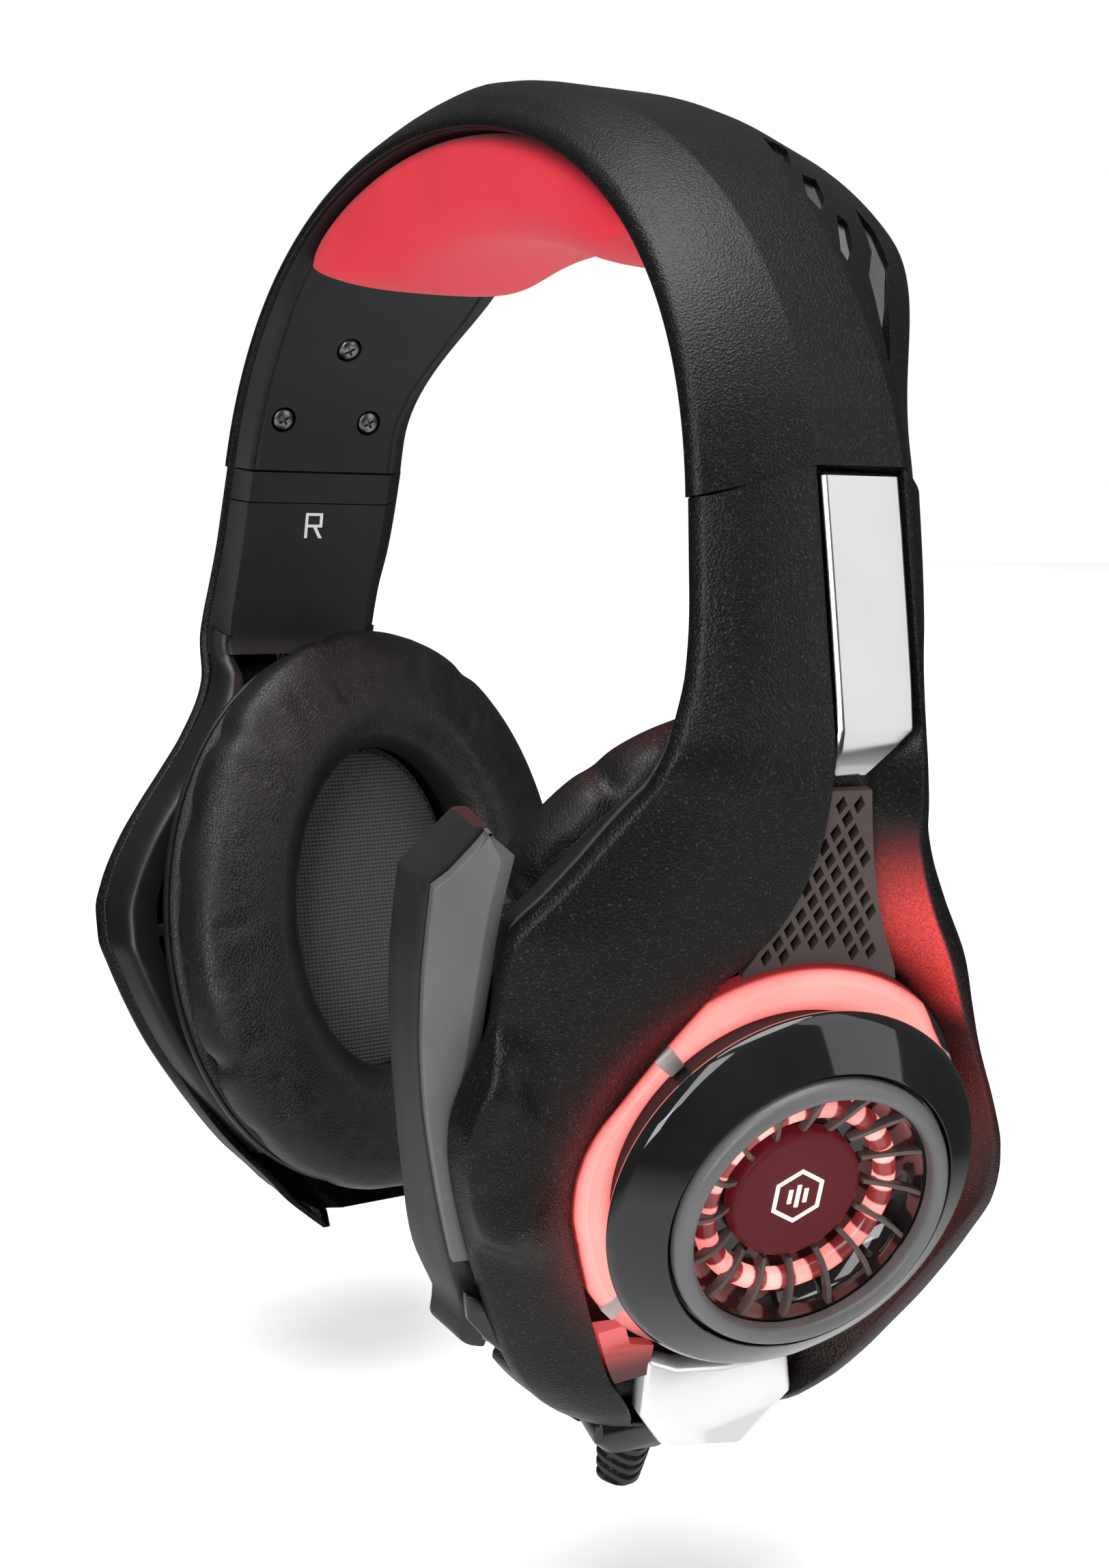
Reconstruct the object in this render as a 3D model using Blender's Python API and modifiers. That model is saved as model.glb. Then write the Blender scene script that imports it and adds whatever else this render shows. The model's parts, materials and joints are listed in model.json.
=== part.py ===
"""Over-ear gaming headset with sliding arms, tilting ear cups and a fold-away microphone.

+X is the wearer's left, -Y is forward and +Z is up. Heights are first worked out from the
bottom of the two chin plates, and the whole object then hangs on one empty that brings the
underside of the crown pad, where the wearer's head carries it, to the origin.

Lengths in this file are millimetres. The helpers turn them into metres.
"""
from math import cos, hypot, pi, radians, sin

import bmesh
import bpy
from mathutils import Matrix, Vector

MM = 0.001

# Driving dimensions
REST_HEIGHT = 187.0        # underside of the crown pad above the chins
REST_Y = 5.5               # middle of the crown pad, front to back
RIM_HALF_WIDTH = 86.0      # front rim of the band at the slider joint
JOINT_HEIGHT = 149.0       # slider joint above the chins
APEX_HEIGHT = 208.9        # front rim at the top of the arch
BAND_FRONT_Y = -19.8       # front edge at the slider joint
BAND_BACK_Y = 17.0         # back edge at the slider joint
BAND_TOP_FRONT_Y = -17.0
BAND_TOP_BACK_Y = 28.0
WALL = 2.0                 # moulded wall thickness
COVER_LEVEL = -5.0         # open side of the band and the arm, below the rim line
COVER_THICK = 1.6
GAP = 0.3

ARM_FLARE = radians(12.0)  # lean of the arm outwards, going down
ARM_LENGTH = 39.6          # slider joint to knee
SLIDER_ENGAGED = 23.0      # steel strip inside the band
CUP_CENTRE = (93.2, 0.0, 46.2)      # middle of the hub's face, left side
CUP_NORMAL = (0.959, -0.097, -0.266)
RIM_DEPTH = -16.0          # wing rim below the hub's face, along the cup normal
KNEE_B = 62.0              # knee above the hub centre, along the cup plane

HUB_RING_R = 22.8
HUB_BORE_R = 19.4
CONE_R = 30.3
LIGHT_R = 35.0

PAD_CENTRE = (-4.0, 6.0)   # oval of the ear cup in the cup plane
PAD_LEAN = radians(8.0)    # top of the oval leans back
PAD_RADII = (42.5, 56.0)
PAD_HOLE = (20.5, 32.0)
PAD_DEPTH = (-52.0, -33.2)
PIVOT_DEPTH = -26.0        # tilt axis below the hub's face

MIC_PIVOT = (-38.5, -30.0)
MIC_DEPTH = (-27.6, -20.9)
ROUND = 24                 # sides of the large turned pieces
SMALL_ROUND = 12           # sides of pins and screws

# Wing and channel outlines, as stations down the cup plane: height b, then the front edge,
# the front and back sides of the centre channel, and the back edge.
WING_STATIONS = (
    (56.0, -34.0, -3.0, 12.3, 15.6),
    (49.0, -38.6, -3.8, 13.2, 18.2),
    (41.0, -45.4, -7.0, 15.8, 22.6),
    (30.5, -46.6, -12.8, 18.6, 28.8),
    (21.0, -48.8, -20.0, 23.0, 33.6),
    (12.5, -51.4, -27.5, 28.0, 37.8),
    (4.0, -51.6, -31.6, 31.4, 41.4),
    (-3.5, -50.4, -31.9, 31.9, 43.6),
    (-10.0, -48.4, -30.2, 30.4, 42.4),
    (-18.0, -44.8, -27.4, 27.4, 39.6),
    (-27.0, -40.2, -23.6, 23.4, 34.8),
    (-35.0, -34.6, -19.4, 19.4, 29.0),
    (-41.0, -29.0, -16.4, 16.6, 23.6),
    (-46.0, -23.0, -14.2, 14.8, 18.8),
)
# Back edge of the folded microphone boom: height b, position a.
BOOM_BACK = ((50.0, -45.8), (40.0, -47.2), (20.0, -46.7), (12.0, -47.0), (1.5, -46.0),
             (-12.0, -42.8), (-24.0, -38.2), (-27.0, -35.0))
BOOM_FRONT = ((46.0, -58.8), (35.0, -58.4), (24.0, -57.6), (12.0, -55.6), (1.5, -53.0),
              (-12.0, -49.0), (-24.0, -44.4))
BOOM_APEX = (-51.0, 54.0)

MATERIALS = {
    "black_textured": ((0.020, 0.020, 0.021), 0.55, 0.0),
    "black_smooth": ((0.022, 0.022, 0.024), 0.40, 0.0),
    "black_gloss": ((0.008, 0.008, 0.009), 0.08, 0.0),
    "grey_satin": ((0.13, 0.13, 0.135), 0.42, 0.0),
    "chrome": ((0.82, 0.82, 0.83), 0.12, 1.0),
    "steel": ((0.45, 0.45, 0.46), 0.32, 1.0),
    "red_foam": ((0.60, 0.028, 0.045), 0.60, 0.0),
    "leatherette": ((0.012, 0.012, 0.013), 0.42, 0.0),
    "ear_fabric": ((0.045, 0.045, 0.048), 0.85, 0.0),
    "light_diffuser": ((1.0, 0.28, 0.26), 0.30, 0.0),
    "badge": ((0.20, 0.010, 0.014), 0.18, 0.0),
    "grille": ((0.060, 0.045, 0.042), 0.50, 0.0),
    "circuit": ((0.015, 0.10, 0.04), 0.50, 0.0),
    "rubber": ((0.018, 0.018, 0.019), 0.65, 0.0),
}


# Scene helpers

def clear_scene():
    for obj in list(bpy.data.objects):
        bpy.data.objects.remove(obj, do_unlink=True)


def collection(name):
    group = bpy.data.collections.new(name)
    bpy.context.scene.collection.children.link(group)
    return group


def material(name):
    known = bpy.data.materials.get(name)
    if known:
        return known
    colour, roughness, metallic = MATERIALS[name]
    made = bpy.data.materials.new(name)
    made.use_nodes = True
    shader = made.node_tree.nodes["Principled BSDF"]
    shader.inputs["Base Color"].default_value = (*colour, 1.0)
    shader.inputs["Roughness"].default_value = roughness
    shader.inputs["Metallic"].default_value = metallic
    return made


def empty(name, parent=None, location=(0.0, 0.0, 0.0), rotation=None):
    """An axis marker. Its location is in millimetres in the parent's frame."""
    obj = bpy.data.objects.new(name, None)
    PARTS.objects.link(obj)
    obj.parent = parent
    obj.location = Vector(location) * MM
    if rotation is not None:
        obj.rotation_euler = rotation.to_euler()
    return obj


def add(name, data, look, parent, location=(0.0, 0.0, 0.0)):
    obj = bpy.data.objects.new(name, data)
    PARTS.objects.link(obj)
    data.materials.append(material(look))
    obj.parent = parent
    obj.location = Vector(location) * MM
    return obj


def shade(obj, angle=40.0):
    obj.data.shade_smooth()
    obj.data.set_sharp_from_angle(angle=radians(angle))


def bevel(obj, width, segments=1, angle=40.0):
    mod = obj.modifiers.new("rounded_edges", "BEVEL")
    mod.width = width * MM
    mod.segments = segments
    mod.limit_method = "ANGLE"
    mod.angle_limit = radians(angle)


def to_mesh(obj):
    """Turn an object and its modifiers into one plain mesh object with the same name and place."""
    bpy.context.view_layer.update()
    evaluated = obj.evaluated_get(bpy.context.evaluated_depsgraph_get())
    mesh = bpy.data.meshes.new_from_object(evaluated)
    shape = bmesh.new()
    shape.from_mesh(mesh)
    bmesh.ops.remove_doubles(shape, verts=shape.verts, dist=0.005 * MM)
    shape.to_mesh(mesh)
    shape.free()
    name, parent, place = obj.name, obj.parent, obj.matrix_basis.copy()
    bpy.data.objects.remove(obj, do_unlink=True)
    plain = bpy.data.objects.new(name, mesh)
    PARTS.objects.link(plain)
    plain.parent = parent
    plain.matrix_basis = place
    return plain


def cut(obj, cutter):
    """Take a cutter's shape out of an object and keep the cutter as a hidden guide."""
    for group in list(cutter.users_collection):
        group.objects.unlink(cutter)
    CUTTERS.objects.link(cutter)
    cutter.hide_render = True
    cutter.display_type = "WIRE"
    mod = obj.modifiers.new("cut", "BOOLEAN")
    mod.operation = "DIFFERENCE"
    mod.solver = "EXACT"
    mod.object = cutter
    return to_mesh(obj)


# Shape helpers

def loft(name, rings, look, parent, loop=False):
    """A closed body through rings of equal length. A loop joins its last ring to its first."""
    shape = bmesh.new()
    layers = []
    for ring in rings:
        layers.append([shape.verts.new(Vector(point) * MM) for point in ring])
    count = len(rings[0])
    spans = list(zip(layers[:-1], layers[1:]))
    if loop:
        spans.append((layers[-1], layers[0]))
    for low, high in spans:
        for i in range(count):
            j = (i + 1) % count
            shape.faces.new((low[i], low[j], high[j], high[i]))
    if not loop:
        shape.faces.new(layers[0])
        shape.faces.new(layers[-1])
    bmesh.ops.recalc_face_normals(shape, faces=shape.faces)
    mesh = bpy.data.meshes.new(name)
    shape.to_mesh(mesh)
    shape.free()
    obj = add(name, mesh, look, parent)
    shade(obj)
    return obj


def turned(name, profile, look, parent, location=(0.0, 0.0, 0.0), closed=True, sides=ROUND):
    """A body turned about local Z from (radius, height) points that run down its outer side."""
    count = len(profile)
    edges = [(i, i + 1) for i in range(count - 1)]
    if closed:
        edges.append((count - 1, 0))
    mesh = bpy.data.meshes.new(name)
    mesh.from_pydata([(r * MM, 0.0, z * MM) for r, z in profile], edges, [])
    obj = add(name, mesh, look, parent, location)
    mod = obj.modifiers.new("turn", "SCREW")
    mod.steps = sides
    mod.render_steps = sides
    mod.use_merge_vertices = True
    mod.merge_threshold = 0.00001
    plain = to_mesh(obj)
    shade(plain, 30.0)
    return plain


def plate(name, outlines, low, high, look, parent, edge=0.0):
    """A flat plate between two heights. Outlines after the first are holes."""
    curve = bpy.data.curves.new(name, "CURVE")
    curve.dimensions = "2D"
    curve.fill_mode = "BOTH"
    curve.extrude = 0.5 * (high - low) * MM
    for outline in outlines:
        spline = curve.splines.new("POLY")
        spline.points.add(len(outline) - 1)
        for point, (x, y) in zip(spline.points, outline):
            point.co = (x * MM, y * MM, 0.0, 1.0)
        spline.use_cyclic_u = True
    obj = add(name, curve, look, parent, (0.0, 0.0, 0.5 * (low + high)))
    plain = to_mesh(obj)
    if edge:
        bevel(plain, edge)
        plain = to_mesh(plain)
    shade(plain)
    return plain


def oval(radii, height, centre=(0.0, 0.0), lean=0.0, count=ROUND):
    """One ring of points on an ellipse whose long axis leans towards +X at its top."""
    ring = []
    for i in range(count):
        turn = 2.0 * pi * i / count
        x, y = radii[0] * cos(turn), radii[1] * sin(turn)
        ring.append((centre[0] + x * cos(lean) + y * sin(lean),
                     centre[1] - x * sin(lean) + y * cos(lean), height))
    return ring


def circle(radius, centre=(0.0, 0.0), count=ROUND):
    return [(centre[0] + radius * cos(2 * pi * i / count),
             centre[1] + radius * sin(2 * pi * i / count)) for i in range(count)]


def blend(low, high, value):
    """Smooth step from 0 at low to 1 at high."""
    share = min(1.0, max(0.0, (value - low) / (high - low)))
    return share * share * (3.0 - 2.0 * share)


def along(table, height):
    """Read a (height, value) table that runs from high to low, with straight steps."""
    for (high, first), (low, second) in zip(table[:-1], table[1:]):
        if height >= low:
            share = (high - height) / (high - low)
            return first + (second - first) * min(1.0, max(0.0, share))
    return table[-1][1]


def twin(obj, name, parent):
    """The right-hand copy of a left-hand piece: mirrored in its local X, on the twin frame."""
    mesh = obj.data.copy()
    shape = bmesh.new()
    shape.from_mesh(mesh)
    bmesh.ops.scale(shape, vec=(-1.0, 1.0, 1.0), verts=shape.verts)
    bmesh.ops.reverse_faces(shape, faces=shape.faces)
    shape.to_mesh(mesh)
    shape.free()
    copy = bpy.data.objects.new(name, mesh)
    PARTS.objects.link(copy)
    copy.parent = parent
    copy.location = obj.location * Vector((-1.0, 1.0, 1.0))
    shade(copy)
    return copy


# Headband: the arch is one cubic curve for each half, measured on its front rim.

def arch_point(t):
    """Point and outward normal of the rim line in X and Z. t is 0 at the top, 1 at the joint."""
    top = Vector((0.0, APEX_HEIGHT))
    reach = Vector((32.3, APEX_HEIGHT))
    shoulder = Vector((RIM_HALF_WIDTH - 8.0, JOINT_HEIGHT + 45.4))
    joint = Vector((RIM_HALF_WIDTH, JOINT_HEIGHT))
    side = -1.0 if t < 0 else 1.0
    s = abs(t)
    spot = (top * (1 - s) ** 3 + reach * 3 * (1 - s) ** 2 * s
            + shoulder * 3 * (1 - s) * s * s + joint * s ** 3)
    run = ((reach - top) * (1 - s) ** 2 + (shoulder - reach) * 2 * (1 - s) * s
           + (joint - shoulder) * s * s).normalized()
    return Vector((side * spot.x, spot.y)), Vector((-side * run.y, run.x))


def band_point(t, y, level):
    """A point of the band at arch position t, at y, and at a level above the rim line."""
    spot, normal = arch_point(t)
    place = spot + normal * level
    return (place.x, y, place.y)


def band_edges(t):
    s = abs(t)
    front = BAND_TOP_FRONT_Y + (BAND_FRONT_Y - BAND_TOP_FRONT_Y) * s * s
    back = BAND_BACK_Y + (BAND_TOP_BACK_Y - BAND_BACK_Y) * blend(0.90, 0.66, s)
    return front, back


def band_section(t):
    """Cross-section of the band shell: an open channel with a faceted crown."""
    front, back = band_edges(t)
    s = abs(t)
    crown = 6.0 - 2.0 * s
    ridge_front = -9.0 + 6.2 * s
    ridge_back = 17.0 - 4.6 * s
    outline = [
        (front + 1.2, COVER_LEVEL), (front, -0.6), (front + 0.9, 0.5),
        (0.5 * (front + ridge_front), 0.72 * crown), (ridge_front, crown), (ridge_back, crown),
        (0.5 * (back + ridge_back), 0.66 * crown), (back - 0.9, 0.3), (back, -0.8),
        (back - 1.2, COVER_LEVEL), (back - 3.0, COVER_LEVEL), (back - 2.2, -1.6),
        (ridge_back, crown - WALL), (ridge_front, crown - WALL), (front + 2.4, -1.6),
        (front + 3.0, COVER_LEVEL),
    ]
    return [band_point(t, y, level) for y, level in outline]


def spread(first, last, count):
    return [first + (last - first) * i / (count - 1) for i in range(count)]


def build_headband(root):
    loft("headband_shell", [band_section(t) for t in spread(-1.0, 1.0, 27)],
         "black_textured", root)

    rings = []
    for t in spread(-0.995, 0.995, 25):
        front, back = band_edges(t)
        low, high = COVER_LEVEL, COVER_LEVEL + COVER_THICK
        corners = ((front + 3.6, low), (back - 3.6, low), (back - 3.6, high), (front + 3.6, high))
        rings.append([band_point(t, y, level) for y, level in corners])
    cover = loft("headband_inner_cover", rings, "black_smooth", root)
    for side in (-1, 1):
        for spot in SCREW_SPOTS:
            cover = cut(cover, screw_solid("screw_hole", side, spot, root, 2.7, 2.7, -8.0, 2.0))
    shade(cover)

    build_crown_pad(root)
    for side, word in ((1, "left"), (-1, "right")):
        build_slider_guide(root, side, word)
        build_cover_screws(root, side, word)


SCREW_SPOTS = ((0.775, -0.4), (0.915, -11.2), (0.915, 7.5))   # arch position and y


def band_frame(side, t):
    """Place and turn of a frame on the band: local Z points outwards, local Y is world Y."""
    spot, normal = arch_point(side * t)
    out = Vector((normal.x, 0.0, normal.y))
    ahead = Vector((0.0, 1.0, 0.0))
    across = ahead.cross(out)
    turn = Matrix((across, ahead, out)).transposed()
    return Vector((spot.x, 0.0, spot.y)), turn


def screw_solid(name, side, spot, root, head_r, shank_r, low, high):
    """One stepped cylinder through the inner cover, head on the head side."""
    place, turn = band_frame(side, spot[0])
    split = COVER_LEVEL + COVER_THICK - 0.3
    profile = [(shank_r, high), (shank_r, split), (head_r, split), (head_r, low), (0.0, low)]
    frame = empty("screw_axis_" + name, root, (place.x, spot[1], place.z), turn)
    return turned(name, [(0.0, high)] + profile, "steel", frame, closed=False, sides=SMALL_ROUND)


def build_cover_screws(root, side, word):
    """Three screws that hold the inner cover at one end of the band."""
    for number, spot in enumerate(SCREW_SPOTS, 1):
        name = "cover_screw_" + word + "_" + str(number)
        screw_solid(name, side, spot, root, 2.3, 1.1, -5.4, -0.6)


def build_crown_pad(root):
    """Thick cushion under the arch, thinner and scalloped towards its ends."""
    rings = []
    for t in spread(-0.62, 0.62, 21):
        front, back = band_edges(t)
        top = COVER_LEVEL - GAP
        share = abs(t) / 0.62
        thick = 16.6 - 12.4 * share ** 2.4
        inset = 1.6 + 4.0 * share ** 6
        ahead, behind = front + inset, back - inset
        outline = ((ahead + 1.5, top), (behind - 1.5, top), (behind, top - 0.35 * thick),
                   (behind - 4.0, top - 0.85 * thick), (0.5 * (ahead + behind), top - thick),
                   (ahead + 4.0, top - 0.80 * thick), (ahead, top - 0.30 * thick))
        rings.append([band_point(t, y, level) for y, level in outline])
    loft("crown_pad", rings, "red_foam", root)


def slide_frame(side):
    """Turn of the arm's slide: local Z outwards, local Y along world Y, local X up the arm."""
    up = Vector((-side * sin(ARM_FLARE), 0.0, cos(ARM_FLARE)))
    out = Vector((side * cos(ARM_FLARE), 0.0, sin(ARM_FLARE)))
    if side > 0:
        return Matrix((up * -1.0, Vector((0.0, 1.0, 0.0)), out)).transposed()
    return Matrix((up, Vector((0.0, 1.0, 0.0)), out)).transposed()


def build_slider_guide(root, side, word):
    """Two rails beside the steel strip and the leaf spring that clicks into it."""
    place = (side * RIM_HALF_WIDTH, 0.0, JOINT_HEIGHT)
    frame = empty("slider_guide_frame_" + word, root, place, slide_frame(side))
    reach = [-side * x for x in (0.6, 11.5)]
    start, end = min(reach), max(reach)
    half = 0.5 * STRIP_WIDTH
    rail_in, rail_out = half + 0.5, half + 2.2
    low, high = COVER_LEVEL + COVER_THICK + GAP, -1.6
    rings = []
    for x in (start, end):
        outline = ((-rail_out, low), (-rail_in, low), (-rail_in, high), (rail_in, high),
                   (rail_in, low), (rail_out, low), (rail_out, high + 0.8), (-rail_out, high + 0.8))
        rings.append([(x, STRIP_Y + y, z) for y, z in outline])
    loft("slider_guide_" + word, rings, "black_smooth", frame)


# Arm: the stations run from the slider joint down to the chin.

STRIP_WIDTH = 11.0
STRIP_Y = -1.8


def cup_axes():
    """Unit vectors of the left cup plane: back, up and outwards."""
    out = Vector(CUP_NORMAL).normalized()
    back = Vector((-out.y, out.x, 0.0)).normalized()
    return back, out.cross(back), out


def cup_turn(side):
    """Turn of a cup-plane frame. On the right, local X runs forward, so shapes mirror in it."""
    back, up, out = cup_axes()
    if side > 0:
        return Matrix((back, up, out)).transposed()
    flip = Vector((-1.0, 1.0, 1.0))
    return Matrix((back * flip * -1.0, up * flip, out * flip)).transposed()


def arm_station(kind, value):
    """Origin, back, up and outward directions of one station of the left arm."""
    back, up, out = cup_axes()
    knee = Vector(CUP_CENTRE) + up * KNEE_B + out * RIM_DEPTH
    arm_up = Vector((-sin(ARM_FLARE), 0.0, cos(ARM_FLARE)))
    arm_out = Vector((cos(ARM_FLARE), 0.0, sin(ARM_FLARE)))
    if kind == "arm":
        return knee + arm_up * value, Vector((0.0, 1.0, 0.0)), arm_up, arm_out
    if kind == "knee":
        return knee, (back + Vector((0.0, 1.0, 0.0))).normalized(), up, (out + arm_out).normalized()
    return Vector(CUP_CENTRE) + up * value + out * RIM_DEPTH, back, up, out


def arm_stations(mic_recess):
    """All stations with their section sizes, from the joint to the tip of the wings."""
    rows = []
    for share, front, channel_front, channel_back, back in (
            (1.0, -19.8, -2.8, 12.4, 17.0), (0.8, -20.8, -2.9, 12.4, 16.8),
            (0.5, -22.0, -3.0, 12.3, 16.0), (0.2, -26.2, -3.0, 12.2, 15.0)):
        wall = COVER_LEVEL * (2.0 - share)
        rows.append(("arm", ARM_LENGTH * share - 0.3, front, channel_front, channel_back, back,
                     wall, 1.0))
    rows.append(("knee", 0.0, -30.6, -3.0, 12.2, 14.9, -10.8, 1.0))
    for b, front, channel_front, channel_back, back in WING_STATIONS:
        if mic_recess and b < 40.0:
            front = max(front, along(BOOM_BACK, b) + 0.8)
        floor = 1.0 - 3.0 * blend(40.0, 24.0, b)
        rows.append(("cup", b, front, channel_front, channel_back, back, -11.4, floor))
    return rows


def arm_section(row):
    kind, value, front, channel_front, channel_back, back, wall, floor = row
    origin, along_y, up, out = arm_station(kind, value)
    ridge = 4.0
    drop = 0.27 * wall
    face = 0.5 * (front + channel_front)
    face_back = 0.5 * (back + channel_back)
    outline = [
        (front + 0.6, drop, wall), (front, 0.0, -3.2), (front + 1.4, 0.0, -0.4),
        (face, 0.0, 2.7), (channel_front, 0.0, ridge), (channel_front + 0.3, 0.0, floor),
        (channel_back - 0.3, 0.0, floor), (channel_back, 0.0, ridge), (face_back, 0.0, 2.5),
        (back - 1.2, 0.0, -0.4), (back, 0.0, -3.2), (back - 0.6, drop, wall),
        (back - 2.2, drop, wall), (back - 1.9, 0.0, -3.8), (face_back, 0.0, 0.5),
        (channel_back + 1.0, 0.0, ridge - 2.6), (channel_back + 0.8, 0.0, floor - 1.5),
        (channel_front - 0.8, 0.0, floor - 1.5), (channel_front - 1.6, 0.0, ridge - 2.6),
        (face, 0.0, 0.7), (front + 2.2, 0.0, -3.8), (front + 2.4, drop, wall),
    ]
    return [tuple(origin + along_y * a + up * b + out * h) for a, b, h in outline]


def channel_half_widths(b):
    """Front and back sides of the centre channel at height b of the cup plane."""
    front = along([(row[0], row[2]) for row in WING_STATIONS], b)
    back = along([(row[0], row[3]) for row in WING_STATIONS], b)
    return front, back


def build_arm_shells(frames):
    """The two arm shells differ: the left one is set back in front for the microphone."""
    for side, word in ((1, "left"), (-1, "right")):
        rings = [arm_section(row) for row in arm_stations(side > 0)]
        rings = [[(side * (x - ARM_ORIGIN[0]), y - ARM_ORIGIN[1], z - ARM_ORIGIN[2])
                  for x, y, z in ring] for ring in rings]
        loft("arm_shell_" + word, rings, "black_textured", frames["arm_" + word])


def arm_layer(rows, front_inset, back_inset, low, high):
    """Rings of a plate that follows the arm, between two levels that may change down it."""
    rings = []
    for row in rows:
        kind, value, front, _, _, back, wall, _ = row
        origin, along_y, up, out = arm_station(kind, value)
        bottom, top = low(wall), high(wall)
        spots = ((front + front_inset, bottom), (back - back_inset, bottom),
                 (back - back_inset, top), (front + front_inset, top))
        rings.append([tuple(origin - Vector(ARM_ORIGIN) + along_y * a + out * h)
                      for a, h in spots])
    return rings


def build_arm_parts(frames):
    """Pieces that are the same on both arms, made on the left."""
    arm = frames["arm_left"]
    rows = arm_stations(False)[:5]
    pieces = [loft("arm_inner_cover", arm_layer(rows, 4.7, 2.9, lambda w: w, lambda w: w + 1.6),
                   "black_smooth", arm)]

    strip_rows = []
    for value, half in ((ARM_LENGTH + SLIDER_ENGAGED, 0.3 * STRIP_WIDTH),
                        (ARM_LENGTH + SLIDER_ENGAGED - 6.0, 0.5 * STRIP_WIDTH),
                        (ARM_LENGTH * 0.35, 0.5 * STRIP_WIDTH)):
        origin, along_y, _, out = arm_station("arm", value)
        spots = ((STRIP_Y - half, -3.1), (STRIP_Y + half, -3.1),
                 (STRIP_Y + half, -2.3), (STRIP_Y - half, -2.3))
        strip_rows.append([tuple(origin - Vector(ARM_ORIGIN) + along_y * a + out * h)
                           for a, h in spots])
    pieces.append(loft("slider_strip", strip_rows, "steel", arm))

    # Below its fold the chrome strip is cut back on a slant and slopes down to the grille.
    chrome_rows = ((ARM_LENGTH - 1.2, 11.3, 3.9), (12.0, 11.3, 4.3), (6.4, 11.0, 4.2),
                   (1.6, 4.6, 2.6))
    rings = []
    for value, end, high in chrome_rows:
        origin, along_y, _, out = arm_station("arm", value)
        spots = ((-1.9, 1.45), (end, 1.45), (end, high - 0.5), (end - 1.0, high), (-0.9, high),
                 (-1.9, high - 0.5))
        rings.append([tuple(origin - Vector(ARM_ORIGIN) + along_y * a + out * h)
                      for a, h in spots])
    pieces.append(loft("chrome_strip", rings, "chrome", arm))
    return pieces


def opening_radius(turn, margin):
    """Distance from the hub's centre to the side of the centre channel, in one direction."""
    front = [(row[2] + margin, row[0]) for row in WING_STATIONS]
    back = [(row[3] - margin, row[0]) for row in WING_STATIONS]
    direction = Vector((cos(turn), sin(turn)))
    best = LIGHT_R
    for side in (front, back):
        for (x0, y0), (x1, y1) in zip(side[:-1], side[1:]):
            step = Vector((x1 - x0, y1 - y0))
            scale = direction.x * step.y - direction.y * step.x
            if abs(scale) < 1e-6:
                continue
            reach = (x0 * step.y - y0 * step.x) / scale
            share = (x0 * direction.y - y0 * direction.x) / scale
            if reach > 0.0 and -0.001 <= share <= 1.001:
                best = min(best, reach)
    return best


def build_hub(frames):
    """Light guide, hub, turbine and chin of one cup, in the cup plane of the left side."""
    cup = frames["cup_plane_left"]
    pieces = []
    count = 40
    outline = []
    for i in range(count):
        turn = 2 * pi * i / count
        reach = opening_radius(turn, 1.0)
        outline.append((reach * cos(turn), reach * sin(turn)))
    pieces.append(plate("light_guide", [outline, circle(23.5)], -15.4, -12.0,
                        "light_diffuser", cup))

    pieces.append(turned("hub_cone", [
        (23.1, -1.2), (29.6, -5.8), (CONE_R, -7.0), (29.8, -11.6), (27.8, -11.6),
        (27.8, -7.8), (20.0, -4.0), (20.0, -2.7), (23.1, -2.7)], "black_gloss", cup))
    pieces.append(turned("hub_ring", [
        (20.4, 0.0), (22.0, -0.1), (HUB_RING_R, -1.0), (HUB_RING_R, -2.4), (HUB_BORE_R, -2.4),
        (HUB_BORE_R, -0.6)], "grey_satin", cup))
    pieces.append(turned("turbine_bowl", [
        (0.0, -8.9), (12.0, -8.9), (16.4, -8.6), (18.6, -7.0), (19.4, -4.6), (19.7, -4.6),
        (19.7, -8.0), (16.8, -10.4), (0.0, -10.4)], "black_gloss", cup, closed=False))
    pieces.append(turned("badge_disc", [
        (0.0, -3.6), (10.2, -3.6), (10.8, -4.2), (10.8, -8.6), (0.0, -8.6)],
        "badge", cup, closed=False))
    tube = [(14.8 + 1.7 * cos(-2 * pi * i / 8 + pi / 8), -6.8 + 1.7 * sin(-2 * pi * i / 8 + pi / 8))
            for i in range(8)]
    pieces.append(turned("light_tube", tube, "light_diffuser", cup))

    vane = []
    teeth = 18
    for i in range(teeth):
        middle = 2 * pi * i / teeth
        for radius, half in ((17.9, 1.3), (12.2, 0.75), (12.2, -0.75), (17.9, -1.3)):
            turn = middle - half / radius
            vane.append((radius * cos(turn), radius * sin(turn)))
    pieces.append(plate("turbine_vanes", [circle(19.1), vane], -4.9, -3.2,
                        "grey_satin", cup))
    pieces.append(plate("led_board", [circle(19.0, count=24), circle(8.0, count=16)],
                        -17.6, -16.4, "circuit", cup))
    chin = [(-12.8, -34.2), (-6.0, -35.9), (0.0, -36.3), (6.0, -35.9), (12.8, -34.2),
            (13.4, -45.6), (6.2, -53.7), (-8.1, -52.9), (-13.0, -45.6)]
    pieces.append(plate("chin_plate", [chin], -17.6, -13.2, "chrome", cup, 0.6))

    pieces.append(build_grille(cup))
    return pieces


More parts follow.
